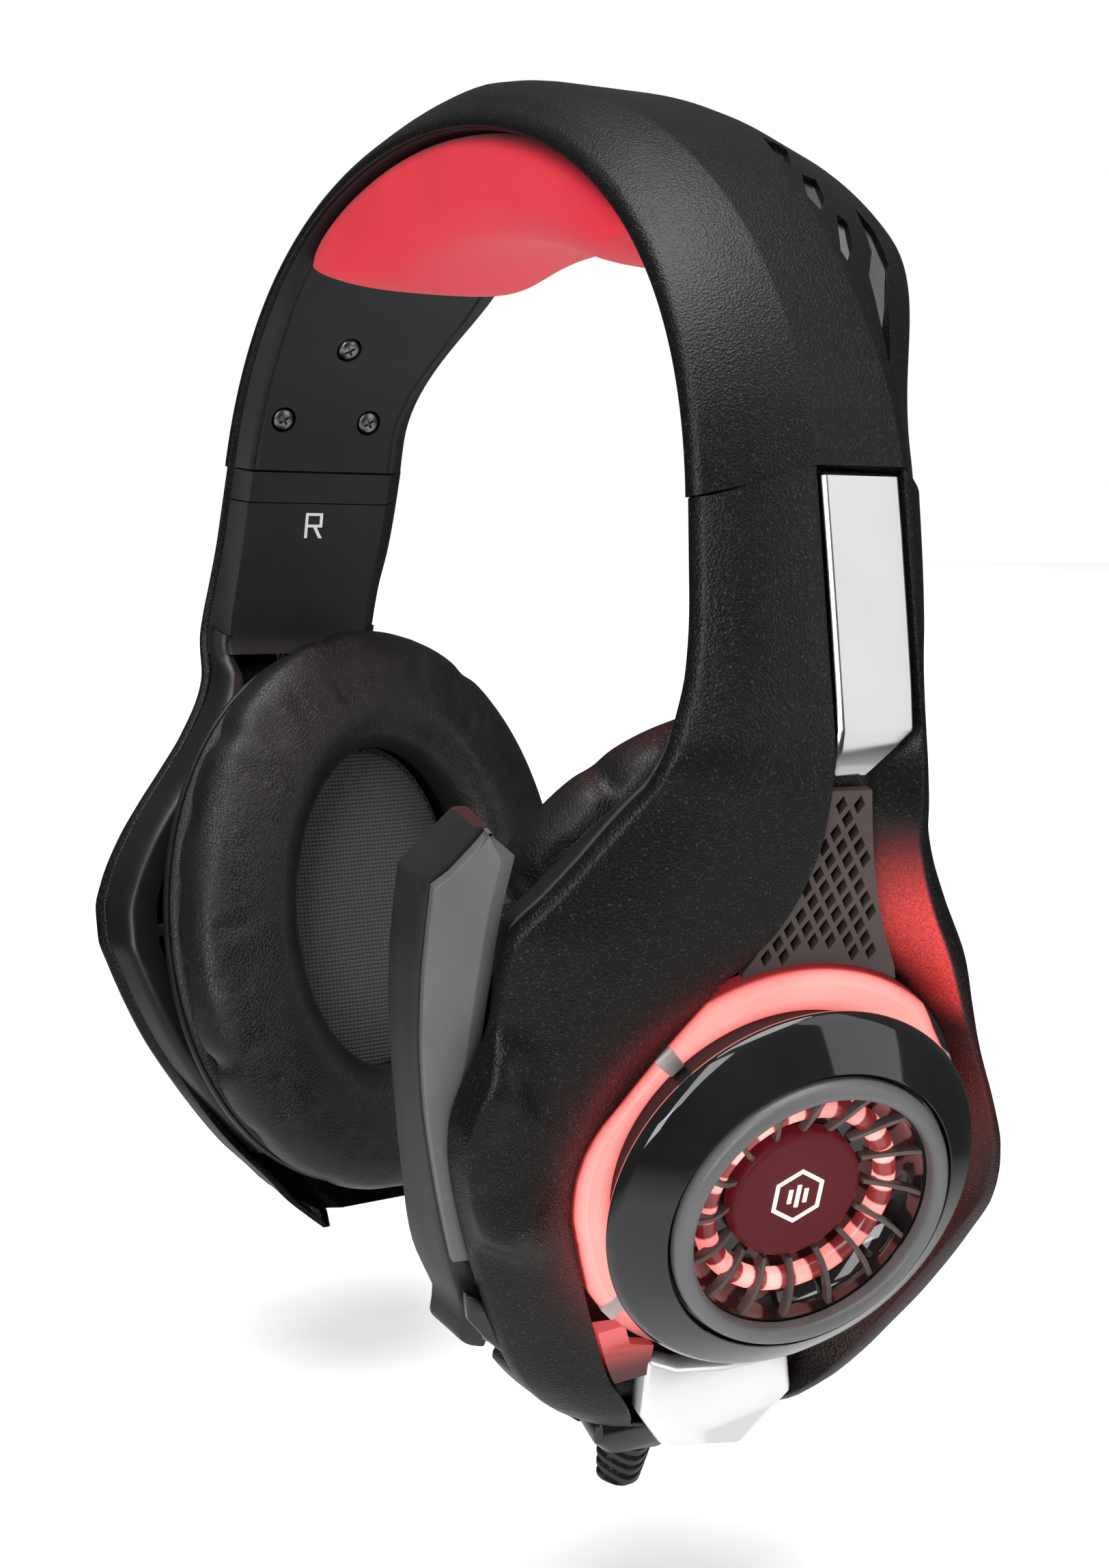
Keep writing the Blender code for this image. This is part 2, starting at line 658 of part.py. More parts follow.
def build_grille(cup):
    """Flared plate above the light guide, pierced by rows of diamonds."""
    top, margin = 60.4, 0.9
    slant = ((60.4, 4.4), (52.0, 6.6), (42.0, 9.8), (31.0, 15.2))
    levels = spread(top, 33.0, 9)
    front = [(channel_half_widths(b)[0] + margin, b) for b in levels]
    back = [(min(channel_half_widths(b)[1] - margin, along(slant, b)), b) for b in levels]
    arc = []
    first = front[-1]
    last = back[-1]
    radius = LIGHT_R + 0.6
    for x in spread(first[0], last[0], 9):
        arc.append((x, (radius ** 2 - x * x) ** 0.5))
    front = [p for p in front if hypot(*p) > radius + 0.4]
    back = [p for p in back if hypot(*p) > radius + 0.4]
    outline = front + arc + back[::-1]
    holes = []
    for row in range(10):
        b = top - 3.0 - 2.3 * row
        low, high = channel_half_widths(b)
        high = min(high, along(slant, b) + margin)
        shift = 0.0 if row % 2 else 1.5
        for column in range(-6, 7):
            a = 1.0 + shift + 3.0 * column
            if low + 2.6 < a < high - 2.6 and hypot(a, b) > radius + 2.4:
                holes.append([(a - 1.0, b), (a, b - 1.5), (a + 1.0, b), (a, b + 1.5)])
    return plate("vent_grille", [outline] + holes, RIM_DEPTH + 1.4, RIM_DEPTH + 3.0,
                 "grille", cup)


# Ear cup

def build_cup(frames):
    """Housing, baffle, driver, cushion and ear mesh, around the tilt axis of the left cup."""
    frame = frames["cup_left"]
    lean = PAD_LEAN

    def rings(rows):
        return [oval((ra, rb), depth - PIVOT_DEPTH, lean=lean) for ra, rb, depth in rows]

    housing = rings(((26.0, 36.4, -21.9), (31.4, 42.6, -24.2), (32.0, 43.2, -30.7),
                     (40.6, 54.0, -30.7), (41.2, 54.6, -31.4), (41.2, 54.6, -32.9),
                     (31.2, 42.4, -32.9), (30.2, 41.4, -25.6), (28.2, 39.6, -24.4)))
    baffle = rings(((30.2, 41.4, -32.8), (30.6, 41.8, -32.4), (30.6, 41.8, -31.6),
                    (30.2, 41.4, -31.2)))
    tub = loft("cup_housing", housing, "black_smooth", frame)
    axle_hole = build_axle("axle_hole", frame, 1.6, -40.0, 40.0)
    tub = cut(tub, axle_hole)
    shade(tub)
    pieces = [
        tub,
        loft("speaker_baffle", baffle, "black_smooth", frame),
        turned("speaker_driver", [
            (0.0, -27.7 - PIVOT_DEPTH), (11.0, -27.7 - PIVOT_DEPTH),
            (11.0, -29.0 - PIVOT_DEPTH), (20.0, -29.5 - PIVOT_DEPTH),
            (20.0, -30.8 - PIVOT_DEPTH), (0.0, -30.8 - PIVOT_DEPTH)],
            "steel", frame, closed=False),
    ]
    half = (0.5 * (PAD_RADII[0] - PAD_HOLE[0]), 0.5 * (PAD_RADII[1] - PAD_HOLE[1]))
    middle = (PAD_RADII[0] - half[0], PAD_RADII[1] - half[1])
    centre = 0.5 * (PAD_DEPTH[0] + PAD_DEPTH[1]) - PIVOT_DEPTH
    rise = 0.5 * (PAD_DEPTH[1] - PAD_DEPTH[0])
    cushion = []
    for i in range(10):
        turn = 2 * pi * i / 10
        cushion.append(oval((middle[0] + half[0] * cos(turn), middle[1] + half[1] * cos(turn)),
                            centre + rise * sin(turn), lean=lean))
    pieces.append(loft("ear_cushion", cushion, "leatherette", frame, loop=True))
    mesh = rings(((19.4, 31.0, -38.6), (19.8, 31.4, -38.0), (19.8, 31.4, -36.6),
                  (19.4, 31.0, -36.2)))
    pieces.append(loft("ear_mesh", mesh, "ear_fabric", frame))
    return pieces


def build_axle(name, frame, radius, start, end):
    """A rod along the tilt axis, in a cup frame whose X runs along that axis."""
    tilt = empty(name + "_axis", frame, (end, 0.0, 0.0), Matrix.Rotation(radians(90.0), 3, "Y"))
    return turned(name, [(0.0, 0.0), (radius, 0.0), (radius, start - end), (0.0, start - end)],
                  "steel", tilt, closed=False, sides=SMALL_ROUND)


def build_axles(frames):
    """One axle on each side, from the front wing's wall to the back wing's wall."""
    build_axle("tilt_axle_left", frames["axle_left"], 1.3, -38.2, 40.4)
    build_axle("tilt_axle_right", frames["axle_right"], 1.3, -40.4, 43.2)


# Left side extras

def boom_outline(inset=0.0, stop=-24.0):
    """Outline of the folded boom in the cup plane, without its round hinge end."""
    back = [(a - inset, b) for b, a in BOOM_BACK if b >= stop]
    front = [(a + inset, b) for b, a in BOOM_FRONT if b >= stop]
    tip = (BOOM_APEX[0], BOOM_APEX[1] - inset)
    return back, front, tip


def build_microphone(frames):
    boom = frames["mic_boom"]
    px, py = MIC_PIVOT
    back, front, tip = boom_outline()
    radius = 3.4
    end = [(px + radius * cos(turn), py + radius * sin(turn))
           for turn in spread(radians(10.0), radians(-190.0), 11)]
    outline = [tip] + back + end + front[::-1]
    outline = [(a - px, b - py) for a, b in outline]
    body = plate("boom_inner_shell", [outline], MIC_DEPTH[0], MIC_DEPTH[1], "black_smooth", boom,
                 0.8)
    pocket = turned("mic_pocket", [(0.0, -25.0), (3.6, -25.0), (3.6, -34.0), (0.0, -34.0)],
                    "black_smooth", boom, (-51.6 - px, 44.0 - py, 0.0), closed=False, sides=16)
    body = cut(body, pocket)
    bore = turned("mic_bore", [(0.0, -18.0), (1.8, -18.0), (1.8, -34.0), (0.0, -34.0)],
                  "black_smooth", boom, closed=False, sides=SMALL_ROUND)
    body = cut(body, bore)
    shade(body)

    back, front, tip = boom_outline(0.5, -15.0)
    face = [tip] + back + front[::-1]
    face = [(a - px, b - py) for a, b in face]
    plate("boom_outer_plate", [face], MIC_DEPTH[1] + GAP, -18.9, "grey_satin", boom, 0.4)
    turned("mic_capsule", [(0.0, -25.4), (3.2, -25.4), (3.2, -27.5), (0.0, -27.5)], "steel",
           boom, (-51.6 - px, 44.0 - py, 0.0), closed=False, sides=16)

    cup = frames["cup_plane_left"]
    turned("mic_pivot_pin", [(0.0, -19.7), (1.45, -19.7), (1.45, -27.4), (0.0, -27.4)], "steel",
           cup, (px, py, 0.0), closed=False, sides=SMALL_ROUND)
    wedge = [(-42.4, -25.2), (-37.0, -27.2), (-34.9, -30.2), (-34.2, -33.6), (-36.4, -34.6),
             (-40.2, -33.4)]
    plate("mic_hinge_cap", [wedge], -19.4, -17.7, "black_gloss", cup, 0.3)


def build_cable_exit(frames):
    """Gloss housing under the left wing and the ribbed boot that the cable leaves from."""
    cup = frames["cup_plane_left"]
    block = [(-17.5, -50.9), (-4.0, -52.2), (-4.0, -54.8), (-5.6, -55.6), (-15.6, -55.6),
             (-17.5, -53.9)]
    plate("cable_housing", [block], -27.6, -18.2, "black_gloss", cup, 0.8)
    frame = empty("boot_frame", cup, (-9.8, -56.0, -23.0),
                  Matrix.Rotation(radians(-90.0), 3, "X"))
    profile = [(0.0, 0.0), (4.6, 0.0), (4.6, -1.4)]
    for top, outer in ((-1.4, 3.9), (-3.8, 3.6), (-6.2, 3.3)):
        profile += [(outer, top - 0.2), (outer, top - 1.0), (outer + 0.5, top - 1.2),
                    (outer + 0.4, top - 2.2)]
    profile += [(3.0, -8.8), (0.0, -8.8)]
    turned("strain_relief", profile, "rubber", frame, closed=False, sides=16)


def build_frames(root):
    """Empties on the joint axes of the left and right sides."""
    frames = {}
    back, up, out = cup_axes()
    for side, word in ((1, "left"), (-1, "right")):
        place = (side * ARM_ORIGIN[0], ARM_ORIGIN[1], ARM_ORIGIN[2])
        arm = empty("arm_" + word, root, place)
        flip = Vector((side, 1.0, 1.0))
        centre = Vector(CUP_CENTRE) * flip - Vector(place)
        plane = empty("cup_plane_" + word, arm, centre, cup_turn(side))
        cup = empty("cup_" + word, plane,
                    (side * PAD_CENTRE[0], PAD_CENTRE[1], PIVOT_DEPTH))
        frames["arm_" + word] = arm
        frames["cup_plane_" + word] = plane
        frames["cup_" + word] = cup
        frames["axle_" + word] = empty("axle_" + word, plane, cup.location / MM)
    frames["mic_boom"] = empty("mic_boom", frames["cup_plane_left"],
                               (MIC_PIVOT[0], MIC_PIVOT[1], 0.0))
    return frames


def build_pairs(frames):
    """Make each left-hand piece, then its mirrored right-hand copy."""
    for group, holder in ((build_arm_parts(frames), "arm_"), (build_hub(frames), "cup_plane_"),
                          (build_cup(frames), "cup_")):
        for piece in group:
            base = piece.name
            piece.name = base + "_left"
            twin(piece, base + "_right", frames[holder + "right"])


ARM_ORIGIN = (RIM_HALF_WIDTH, 0.0, JOINT_HEIGHT)


clear_scene()
PARTS = collection("gaming_headset")
CUTTERS = collection("cutters")
headset = empty("headset", None, (0.0, -REST_Y, -REST_HEIGHT))
bpy.context.view_layer.update()
build_headband(headset)
side_frames = build_frames(headset)
build_arm_shells(side_frames)
build_pairs(side_frames)
build_axles(side_frames)
build_microphone(side_frames)
build_cable_exit(side_frames)
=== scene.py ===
"""Looks of the gaming headset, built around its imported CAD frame.

Lengths are millimetres until the helpers turn them into metres. Most pieces are made on the
left side, from the same driving shapes as the CAD part, and mirrored to the right.
"""

import json
from contextlib import contextmanager
from math import cos, degrees, exp, hypot, pi, radians, sin, sqrt, tau

import bmesh
import bpy
import numpy as np
from mathutils import Matrix, Vector


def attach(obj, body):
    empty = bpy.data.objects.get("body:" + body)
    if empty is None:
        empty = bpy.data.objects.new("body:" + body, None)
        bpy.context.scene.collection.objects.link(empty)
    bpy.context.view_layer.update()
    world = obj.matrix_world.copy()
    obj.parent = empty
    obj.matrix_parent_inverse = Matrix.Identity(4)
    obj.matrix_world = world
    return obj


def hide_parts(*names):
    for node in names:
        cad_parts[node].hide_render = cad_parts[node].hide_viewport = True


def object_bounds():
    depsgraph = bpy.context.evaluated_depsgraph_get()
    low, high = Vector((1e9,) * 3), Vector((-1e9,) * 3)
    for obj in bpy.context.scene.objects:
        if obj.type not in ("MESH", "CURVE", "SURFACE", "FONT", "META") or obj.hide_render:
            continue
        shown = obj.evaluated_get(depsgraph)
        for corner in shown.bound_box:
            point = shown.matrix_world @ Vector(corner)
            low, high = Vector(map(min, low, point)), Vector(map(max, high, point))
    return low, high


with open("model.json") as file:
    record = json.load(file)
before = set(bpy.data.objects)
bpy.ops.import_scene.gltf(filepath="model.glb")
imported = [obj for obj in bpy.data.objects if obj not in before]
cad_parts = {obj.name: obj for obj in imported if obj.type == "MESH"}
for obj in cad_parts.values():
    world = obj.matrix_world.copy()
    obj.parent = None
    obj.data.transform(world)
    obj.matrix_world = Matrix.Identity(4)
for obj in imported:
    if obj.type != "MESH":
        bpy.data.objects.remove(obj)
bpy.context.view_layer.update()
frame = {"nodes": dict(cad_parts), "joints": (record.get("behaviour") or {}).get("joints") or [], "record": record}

MM = 0.001
mounts = {m["name"]: m for m in frame["record"]["mounts"]}
joints = {j["name"]: j for j in frame["joints"]}

# Frames of the left side, read from the record. "Out" points away from the head.
OUT = Vector(mounts["badge_face_left"]["axis"]).normalized()
BACK = Vector((-OUT.y, OUT.x, 0.0)).normalized()
UP = OUT.cross(BACK)
HUB = Vector(mounts["badge_face_left"]["pos_m"]) / MM + OUT * 3.6
ARM_UP = -Vector(joints["slider_left"]["axis"]).normalized()
ARM_OUT = Vector((ARM_UP.z, 0.0, -ARM_UP.x))
PIVOT_MIC = Vector(joints["mic_swing"]["pos_m"]) / MM
REST = Vector((0.0, -5.5, -187.0))
RIM = -16.0
KNEE_RISE = 62.0
KNEE = HUB + UP * KNEE_RISE + OUT * RIM
ARM_LENGTH = 39.6
PAD_A, PAD_B = -4.0, 6.0
PAD_LEAN = radians(8.0)
SIDES = ((1, "left"), (-1, "right"))
CLOTH_FRAMES = 20
JET, JET_LIGHT = (0.006, 0.006, 0.0065), (0.009, 0.009, 0.0096)


# Curves and interpolation

def pchip(xs, ys):
    """Smooth curve through points that never overshoots them."""
    xs, ys = np.asarray(xs, float), np.asarray(ys, float)
    step = np.diff(xs)
    slope = np.diff(ys) / step
    tangent = np.zeros_like(ys)
    tangent[0], tangent[-1] = slope[0], slope[-1]
    both = slope[:-1] * slope[1:]
    safe = np.where(both > 0, slope[:-1] + slope[1:], 1.0)
    tangent[1:-1] = np.where(both > 0, 2.0 * both / safe, 0.0)

    def value(x):
        i = int(np.clip(np.searchsorted(xs, x) - 1, 0, len(step) - 1))
        s = min(1.0, max(0.0, (x - xs[i]) / step[i]))
        return float(ys[i] * (1 + 2 * s) * (1 - s) ** 2 + step[i] * tangent[i] * s * (1 - s) ** 2
                     + ys[i + 1] * s * s * (3 - 2 * s) + step[i] * tangent[i + 1] * s * s * (s - 1))
    return value


def curve_of(*pairs):
    pairs = sorted(pairs)
    return pchip([p[0] for p in pairs], [p[1] for p in pairs])


def ease(low, high, x):
    s = min(1.0, max(0.0, (x - low) / (high - low)))
    return s * s * (3.0 - 2.0 * s)


def fillet(ring, radii, steps):
    """Round each corner of a closed ring. A radius of 0 keeps the point."""
    done = []
    for i, (point, radius) in enumerate(zip(ring, radii)):
        if radius <= 0:
            done.append(point)
            continue
        before, after = ring[i - 1] - point, ring[(i + 1) % len(ring)] - point
        start = point + before * min(radius / max(before.length, 1e-6), 0.45)
        end = point + after * min(radius / max(after.length, 1e-6), 0.45)
        for k in range(steps + 1):
            u = k / steps
            done.append(start * (1 - u) ** 2 + point * (2 * u * (1 - u)) + end * u * u)
    return done


def spread(first, last, count):
    return [first + (last - first) * i / (count - 1) for i in range(count)]


# Mesh helpers

def add(name, data):
    """Put new data into the scene as an object."""
    obj = bpy.data.objects.new(name, data)
    bpy.context.scene.collection.objects.link(obj)
    return obj


def smooth(mesh, angle):
    """Shade smooth, but keep edges sharper than the angle. An angle of 0 keeps none."""
    mesh.shade_smooth()
    if angle:
        mesh.set_sharp_from_angle(angle=radians(angle))


def link(name, mesh, look, angle=32.0):
    obj = add(name, mesh)
    if look is not None:
        mesh.materials.append(look)
    smooth(mesh, angle)
    return obj


@contextmanager
def editing(mesh):
    shape = bmesh.new()
    shape.from_mesh(mesh)
    yield shape
    shape.to_mesh(mesh)
    shape.free()


def evaluated(obj):
    """A new mesh of the object with its modifiers applied."""
    bpy.context.view_layer.update()
    return bpy.data.meshes.new_from_object(
        obj.evaluated_get(bpy.context.evaluated_depsgraph_get()))


def paint(mesh, name, values):
    """Store one number for each point of a mesh."""
    layer = mesh.attributes.new(name, "FLOAT", "POINT")
    layer.data.foreach_set("value", np.array(values, np.float32))


def skin(name, rings, look=None, loop=False, angle=32.0):
    """A closed body through rings of equal length, given in millimetres."""
    count, layers = len(rings[0]), len(rings)
    points = [tuple(Vector(p) * MM) for ring in rings for p in ring]
    faces = []
    for j in range(layers if loop else layers - 1):
        low, high = j * count, ((j + 1) % layers) * count
        for i in range(count):
            k = (i + 1) % count
            faces.append((low + i, low + k, high + k, high + i))
    if not loop:
        faces.append(tuple(range(count)))
        faces.append(tuple(range((layers - 1) * count, layers * count)))
    mesh = bpy.data.meshes.new(name)
    mesh.from_pydata(points, [], faces)
    with editing(mesh) as shape:
        bmesh.ops.recalc_face_normals(shape, faces=shape.faces)
    return link(name, mesh, look, angle)


def plain(obj, angle=32.0):
    """Apply an object's modifiers."""
    mesh = evaluated(obj)
    old, obj.data = obj.data, mesh
    obj.modifiers.clear()
    bpy.data.meshes.remove(old)
    smooth(mesh, angle)
    return obj


def bevel(obj, width, segments):
    mod = obj.modifiers.new("edge", "BEVEL")
    mod.width = width * MM
    mod.segments = segments
    mod.limit_method = "ANGLE"
    mod.angle_limit = radians(35.0)
    mod.harden_normals = True
    return plain(obj, 40.0)


def subdivide(obj):
    mod = obj.modifiers.new("smooth", "SUBSURF")
    mod.levels = mod.render_levels = 1
    return plain(obj, 0)


def carve(obj, other):
    """Cut one object out of another."""
    mod = obj.modifiers.new("cut", "BOOLEAN")
    mod.operation = "DIFFERENCE"
    mod.solver = "EXACT"
    mod.object = other
    plain(obj)
    bpy.data.objects.remove(other, do_unlink=True)
    return obj


def slab(name, outlines, place, low, high, look=None, edge=0.0, segments=3):
    """A flat plate: outlines in plane coordinates, the first solid and the others holes."""
    curve = bpy.data.curves.new(name, "CURVE")
    curve.dimensions = "2D"
    curve.fill_mode = "BOTH"
    curve.extrude = 0.5 * (high - low) * MM
    for outline in outlines:
        spline = curve.splines.new("POLY")
        spline.points.add(len(outline) - 1)
        for point, (x, y) in zip(spline.points, outline):
            point.co = (x * MM, y * MM, 0.0, 1.0)
        spline.use_cyclic_u = True
    holder = add(name + "_curve", curve)
    mesh = evaluated(holder)
    bpy.data.objects.remove(holder, do_unlink=True)
    with editing(mesh) as shape:
        bmesh.ops.remove_doubles(shape, verts=shape.verts, dist=0.002 * MM)
    mesh.transform(Matrix.Translation((0.0, 0.0, 0.5 * (low + high) * MM)))
    mesh.transform(place)
    obj = link(name, mesh, look)
    return bevel(obj, edge, segments) if edge else obj


def lathe(name, profile, place, look=None, steps=96, closed=True):
    """A body turned about local Z from (radius, height) points, outside from top to bottom."""
    rings = []
    for i in range(steps):
        turn = tau * i / steps
        rings.append([(r * cos(turn), r * sin(turn), z) for r, z in profile])
    obj = skin(name, rings, look, loop=True, angle=0)
    if not closed:
        with editing(obj.data) as shape:
            bmesh.ops.remove_doubles(shape, verts=shape.verts, dist=0.001 * MM)
            loose = [f for f in shape.faces if f.calc_area() < 1e-14]
            bmesh.ops.delete(shape, geom=loose, context="FACES_ONLY")
            bmesh.ops.recalc_face_normals(shape, faces=shape.faces)
    obj.data.transform(place)
    smooth(obj.data, 30.0)
    return obj


def rounded(corners, steps, place):
    """A ring through section corners. The last number of each says how round it is."""
    return fillet([place(*corner[:-1]) for corner in corners],
                  [corner[-1] for corner in corners], steps)


def soft_profile(points, radius, steps):
    """Round the corners of a closed turned profile."""
    ring = [Vector((r, z, 0.0)) for r, z in points]
    return [(p.x, p.y) for p in fillet(ring, [radius] * len(ring), steps)]


def join(name, pieces):
    """Put several meshes with one material into one object."""
    shape = bmesh.new()
    for piece in pieces:
        shape.from_mesh(piece.data)
    mesh = bpy.data.meshes.new(name)
    shape.to_mesh(mesh)
    shape.free()
    looks = list(pieces[0].data.materials)
    for piece in pieces:
        bpy.data.objects.remove(piece, do_unlink=True)
    return link(name, mesh, looks[0] if looks else None)


def mirrored(obj, name):
    mesh = obj.data.copy()
    with editing(mesh) as shape:
        bmesh.ops.scale(shape, vec=(-1.0, 1.0, 1.0), verts=shape.verts)
        bmesh.ops.reverse_faces(shape, faces=shape.faces)
    return add(name, mesh)


def moved_right(obj, name):
    """Replace a left piece by its mirror image."""
    twin = mirrored(obj, "twin")
    bpy.data.objects.remove(obj, do_unlink=True)
    twin.name = name
    return twin


def mount(obj, body, slot, *nodes):
    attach(obj, body)
    if nodes:
        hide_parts(*nodes)
    return obj


def pair(obj, body, slot, *nodes):
    """Mount a left piece and its mirrored twin. Body and nodes are given without a side."""
    base = obj.name
    twin = mirrored(obj, base + "_right")
    obj.name = base + "_left"
    mount(obj, body + "_left", slot, *[n + "_left" for n in nodes])
    mount(twin, body + "_right", slot, *[n + "_right" for n in nodes])
    return obj, twin


# Materials

def shader(name, colour, rough, metal=0.0, **sockets):
    made = bpy.data.materials.new(name)
    made.use_nodes = True
    tree = made.node_tree
    body = tree.nodes["Principled BSDF"]
    wire(tree, body, Base_Color=(*colour, 1.0), Roughness=rough, Metallic=metal, **sockets)
    return made, tree, body


def wire(tree, made, **values):
    """Set or link a node's inputs. Other names are set as the node's own properties."""
    for key, value in values.items():
        socket = made.inputs.get(key.replace("_", " "))
        if socket is None:
            setattr(made, key, value)
        elif isinstance(value, bpy.types.NodeSocket):
            tree.links.new(value, socket)
        else:
            socket.default_value = value
    return made


def node(tree, kind, **values):
    return wire(tree, tree.nodes.new(kind), **values)


def coords(tree):
    return node(tree, "ShaderNodeTexCoord").outputs["Object"]


def noise(tree, scale, detail, rough=0.55, where=None):
    return node(tree, "ShaderNodeTexNoise", Scale=scale, Detail=detail, Roughness=rough,
                Vector=where or coords(tree)).outputs["Fac"]


def remap(tree, value, low, high, to_low, to_high):
    return node(tree, "ShaderNodeMapRange", Value=value, From_Min=low, From_Max=high,
                To_Min=to_low, To_Max=to_high).outputs["Result"]


def attribute(tree, name):
    return node(tree, "ShaderNodeAttribute", attribute_name=name).outputs["Fac"]


def mix_colour(tree, factor, first, second):
    made = node(tree, "ShaderNodeMix", data_type="RGBA")
    tree.links.new(factor, made.inputs[0])
    for index, colour in ((6, first), (7, second)):
        if isinstance(colour, tuple):
            made.inputs[index].default_value = (*colour, 1.0)
        else:
            tree.links.new(colour, made.inputs[index])
    return made.outputs[2]


def sums(tree, first, second):
    return arithmetic(tree, "ADD", first, second)


def times(tree, first, second):
    return arithmetic(tree, "MULTIPLY", first, second)


def arithmetic(tree, operation, first, second):
    made = node(tree, "ShaderNodeMath", operation=operation)
    tree.links.new(first, made.inputs[0])
    if isinstance(second, float):
        made.inputs[1].default_value = second
    else:
        tree.links.new(second, made.inputs[1])
    return made.outputs[0]


def bump(tree, body, height, depth, strength):
    """Bump of a given depth in millimetres."""
    made = node(tree, "ShaderNodeBump", Strength=strength, Distance=depth * MM, Height=height)
    wire(tree, body, Normal=made.outputs["Normal"])


def varied(tree, body, colour, light, rough, spread_rough, scale=60.0):
    """Slow change of colour and gloss over the surface."""
    slow = noise(tree, scale, 2.0)
    wire(tree, body,
         Base_Color=mix_colour(tree, remap(tree, slow, 0.3, 0.7, 0.0, 1.0), colour, light),
         Roughness=remap(tree, slow, 0.3, 0.7, rough - spread_rough, rough + spread_rough))


def grained_plastic(name, glow=False):
    """Black moulded plastic with a fine leather-like grain that sparkles a little, partly by its gloss and partly
    by lighter specks painted in as glints.
    """
    made, tree, body = shader(name, JET, 0.42, Specular_IOR_Level=0.32)
    where = coords(tree)
    grain = noise(tree, 3000.0, 2.0, 0.5, where)
    cells = node(tree, "ShaderNodeTexVoronoi", Scale=2700.0, Vector=where)
    bump(tree, body, sums(tree, grain, times(tree, cells.outputs["Distance"], 0.8)), 0.085, 0.9)
    # Painted glints: lighter specks mixed into the base colour.
    painted_glint = noise(tree, 2400.0, 1.0, 0.5, where)
    colour = mix_colour(tree, remap(tree, painted_glint, 0.62, 0.78, 0.0, 1.0),
                        (0.0035, 0.0035, 0.0038), (0.032, 0.032, 0.033))
    if glow:
        # Painted light: the hub's red light on the shell is painted in as red colour and emission, following the
        # 'spill' attribute.
        painted_spill = times(tree, attribute(tree, "spill"), remap(tree, grain, 0.3, 0.7, 0.65, 1.25))
        colour = mix_colour(tree, remap(tree, painted_spill, 0.0, 1.0, 0.0, 1.0), colour,
                            (0.55, 0.035, 0.030))
        wire(tree, body, Emission_Color=colour,
             Emission_Strength=remap(tree, painted_spill, 0.0, 1.0, 0.0, 0.95))
    wire(tree, body, Base_Color=colour,
         Roughness=remap(tree, noise(tree, 45.0, 2.0), 0.3, 0.7, 0.30, 0.38))
    return made


def satin_plastic(name, colour, light, rough, grain=2600.0, depth=0.02):
    """Smooth moulded plastic with a very fine surface."""
    made, tree, body = shader(name, colour, rough)
    varied(tree, body, colour, light, rough, 0.05)
    bump(tree, body, noise(tree, grain, 1.0), depth, 0.6)
    return made


def gloss_plastic(name):
    made, tree, body = shader(name, JET, 0.07, Coat_Weight=0.6, Coat_Roughness=0.04)
    varied(tree, body, JET, tuple(c * 1.6 for c in JET), 0.07, 0.025, 90.0)
    bump(tree, body, noise(tree, 120.0, 1.0), 0.02, 0.25)
    return made


def plated(name, colour, rough, metal=1.0):
    made, tree, body = shader(name, colour, rough, metal)
    varied(tree, body, colour, tuple(min(1.0, c * 1.08) for c in colour), rough, 0.03, 70.0)
    bump(tree, body, noise(tree, 160.0, 1.0), 0.012, 0.3)
    return made


def leatherette(name):
    """Soft artificial leather: fine pores with creases that follow the stuffing."""
    made, tree, body = shader(name, JET, 0.4, Specular_IOR_Level=0.4, Coat_Weight=0.10,
                              Coat_Roughness=0.35)
    where = coords(tree)
    cells = node(tree, "ShaderNodeTexVoronoi", Scale=1500.0, feature="DISTANCE_TO_EDGE",
                 Vector=where)
    pores = remap(tree, cells.outputs["Distance"], 0.0, 0.12, 0.0, 1.0)
    crease = node(tree, "ShaderNodeTexNoise", Scale=210.0, Detail=4.0, Distortion=1.4,
                  Vector=where)
    bump(tree, body, sums(tree, times(tree, pores, 0.16), crease.outputs["Fac"]), 0.30, 0.75)
    varied(tree, body, (0.005, 0.005, 0.0054), JET_LIGHT, 0.40, 0.07, 110.0)
    return made


def knit(name, colour, light):
    """Ribbed cloth: rows of small loops."""
    made, tree, body = shader(name, colour, 0.9, Sheen_Weight=0.25, Sheen_Roughness=0.5)
    where = coords(tree)
    rows = node(tree, "ShaderNodeTexWave", Scale=420.0, Distortion=1.2, Detail=1.0,
                Detail_Scale=2.0, bands_direction="Z", Vector=where)
    across = node(tree, "ShaderNodeTexWave", Scale=380.0, Distortion=0.8, Detail=1.0,
                  bands_direction="Y", Vector=where)
    loops = sums(tree, rows.outputs["Fac"], times(tree, across.outputs["Fac"], 0.5))
    wire(tree, body, Base_Color=mix_colour(tree, remap(tree, loops, 0.3, 1.3, 0.0, 1.0),
                                           colour, light))
    bump(tree, body, loops, 0.15, 0.9)
    return made


def cushion_cloth(name):
    """Smooth red cushion cover with a soft short nap."""
    made, tree, body = shader(name, (0.62, 0.025, 0.045), 0.8, Sheen_Weight=0.08,
                              Sheen_Roughness=0.45)
    varied(tree, body, (0.60, 0.010, 0.026), (0.65, 0.014, 0.033), 0.80, 0.06, 40.0)
    nap = sums(tree, noise(tree, 2400.0, 2.0), times(tree, noise(tree, 90.0, 2.0), 0.8))
    bump(tree, body, nap, 0.10, 0.6)
    return made


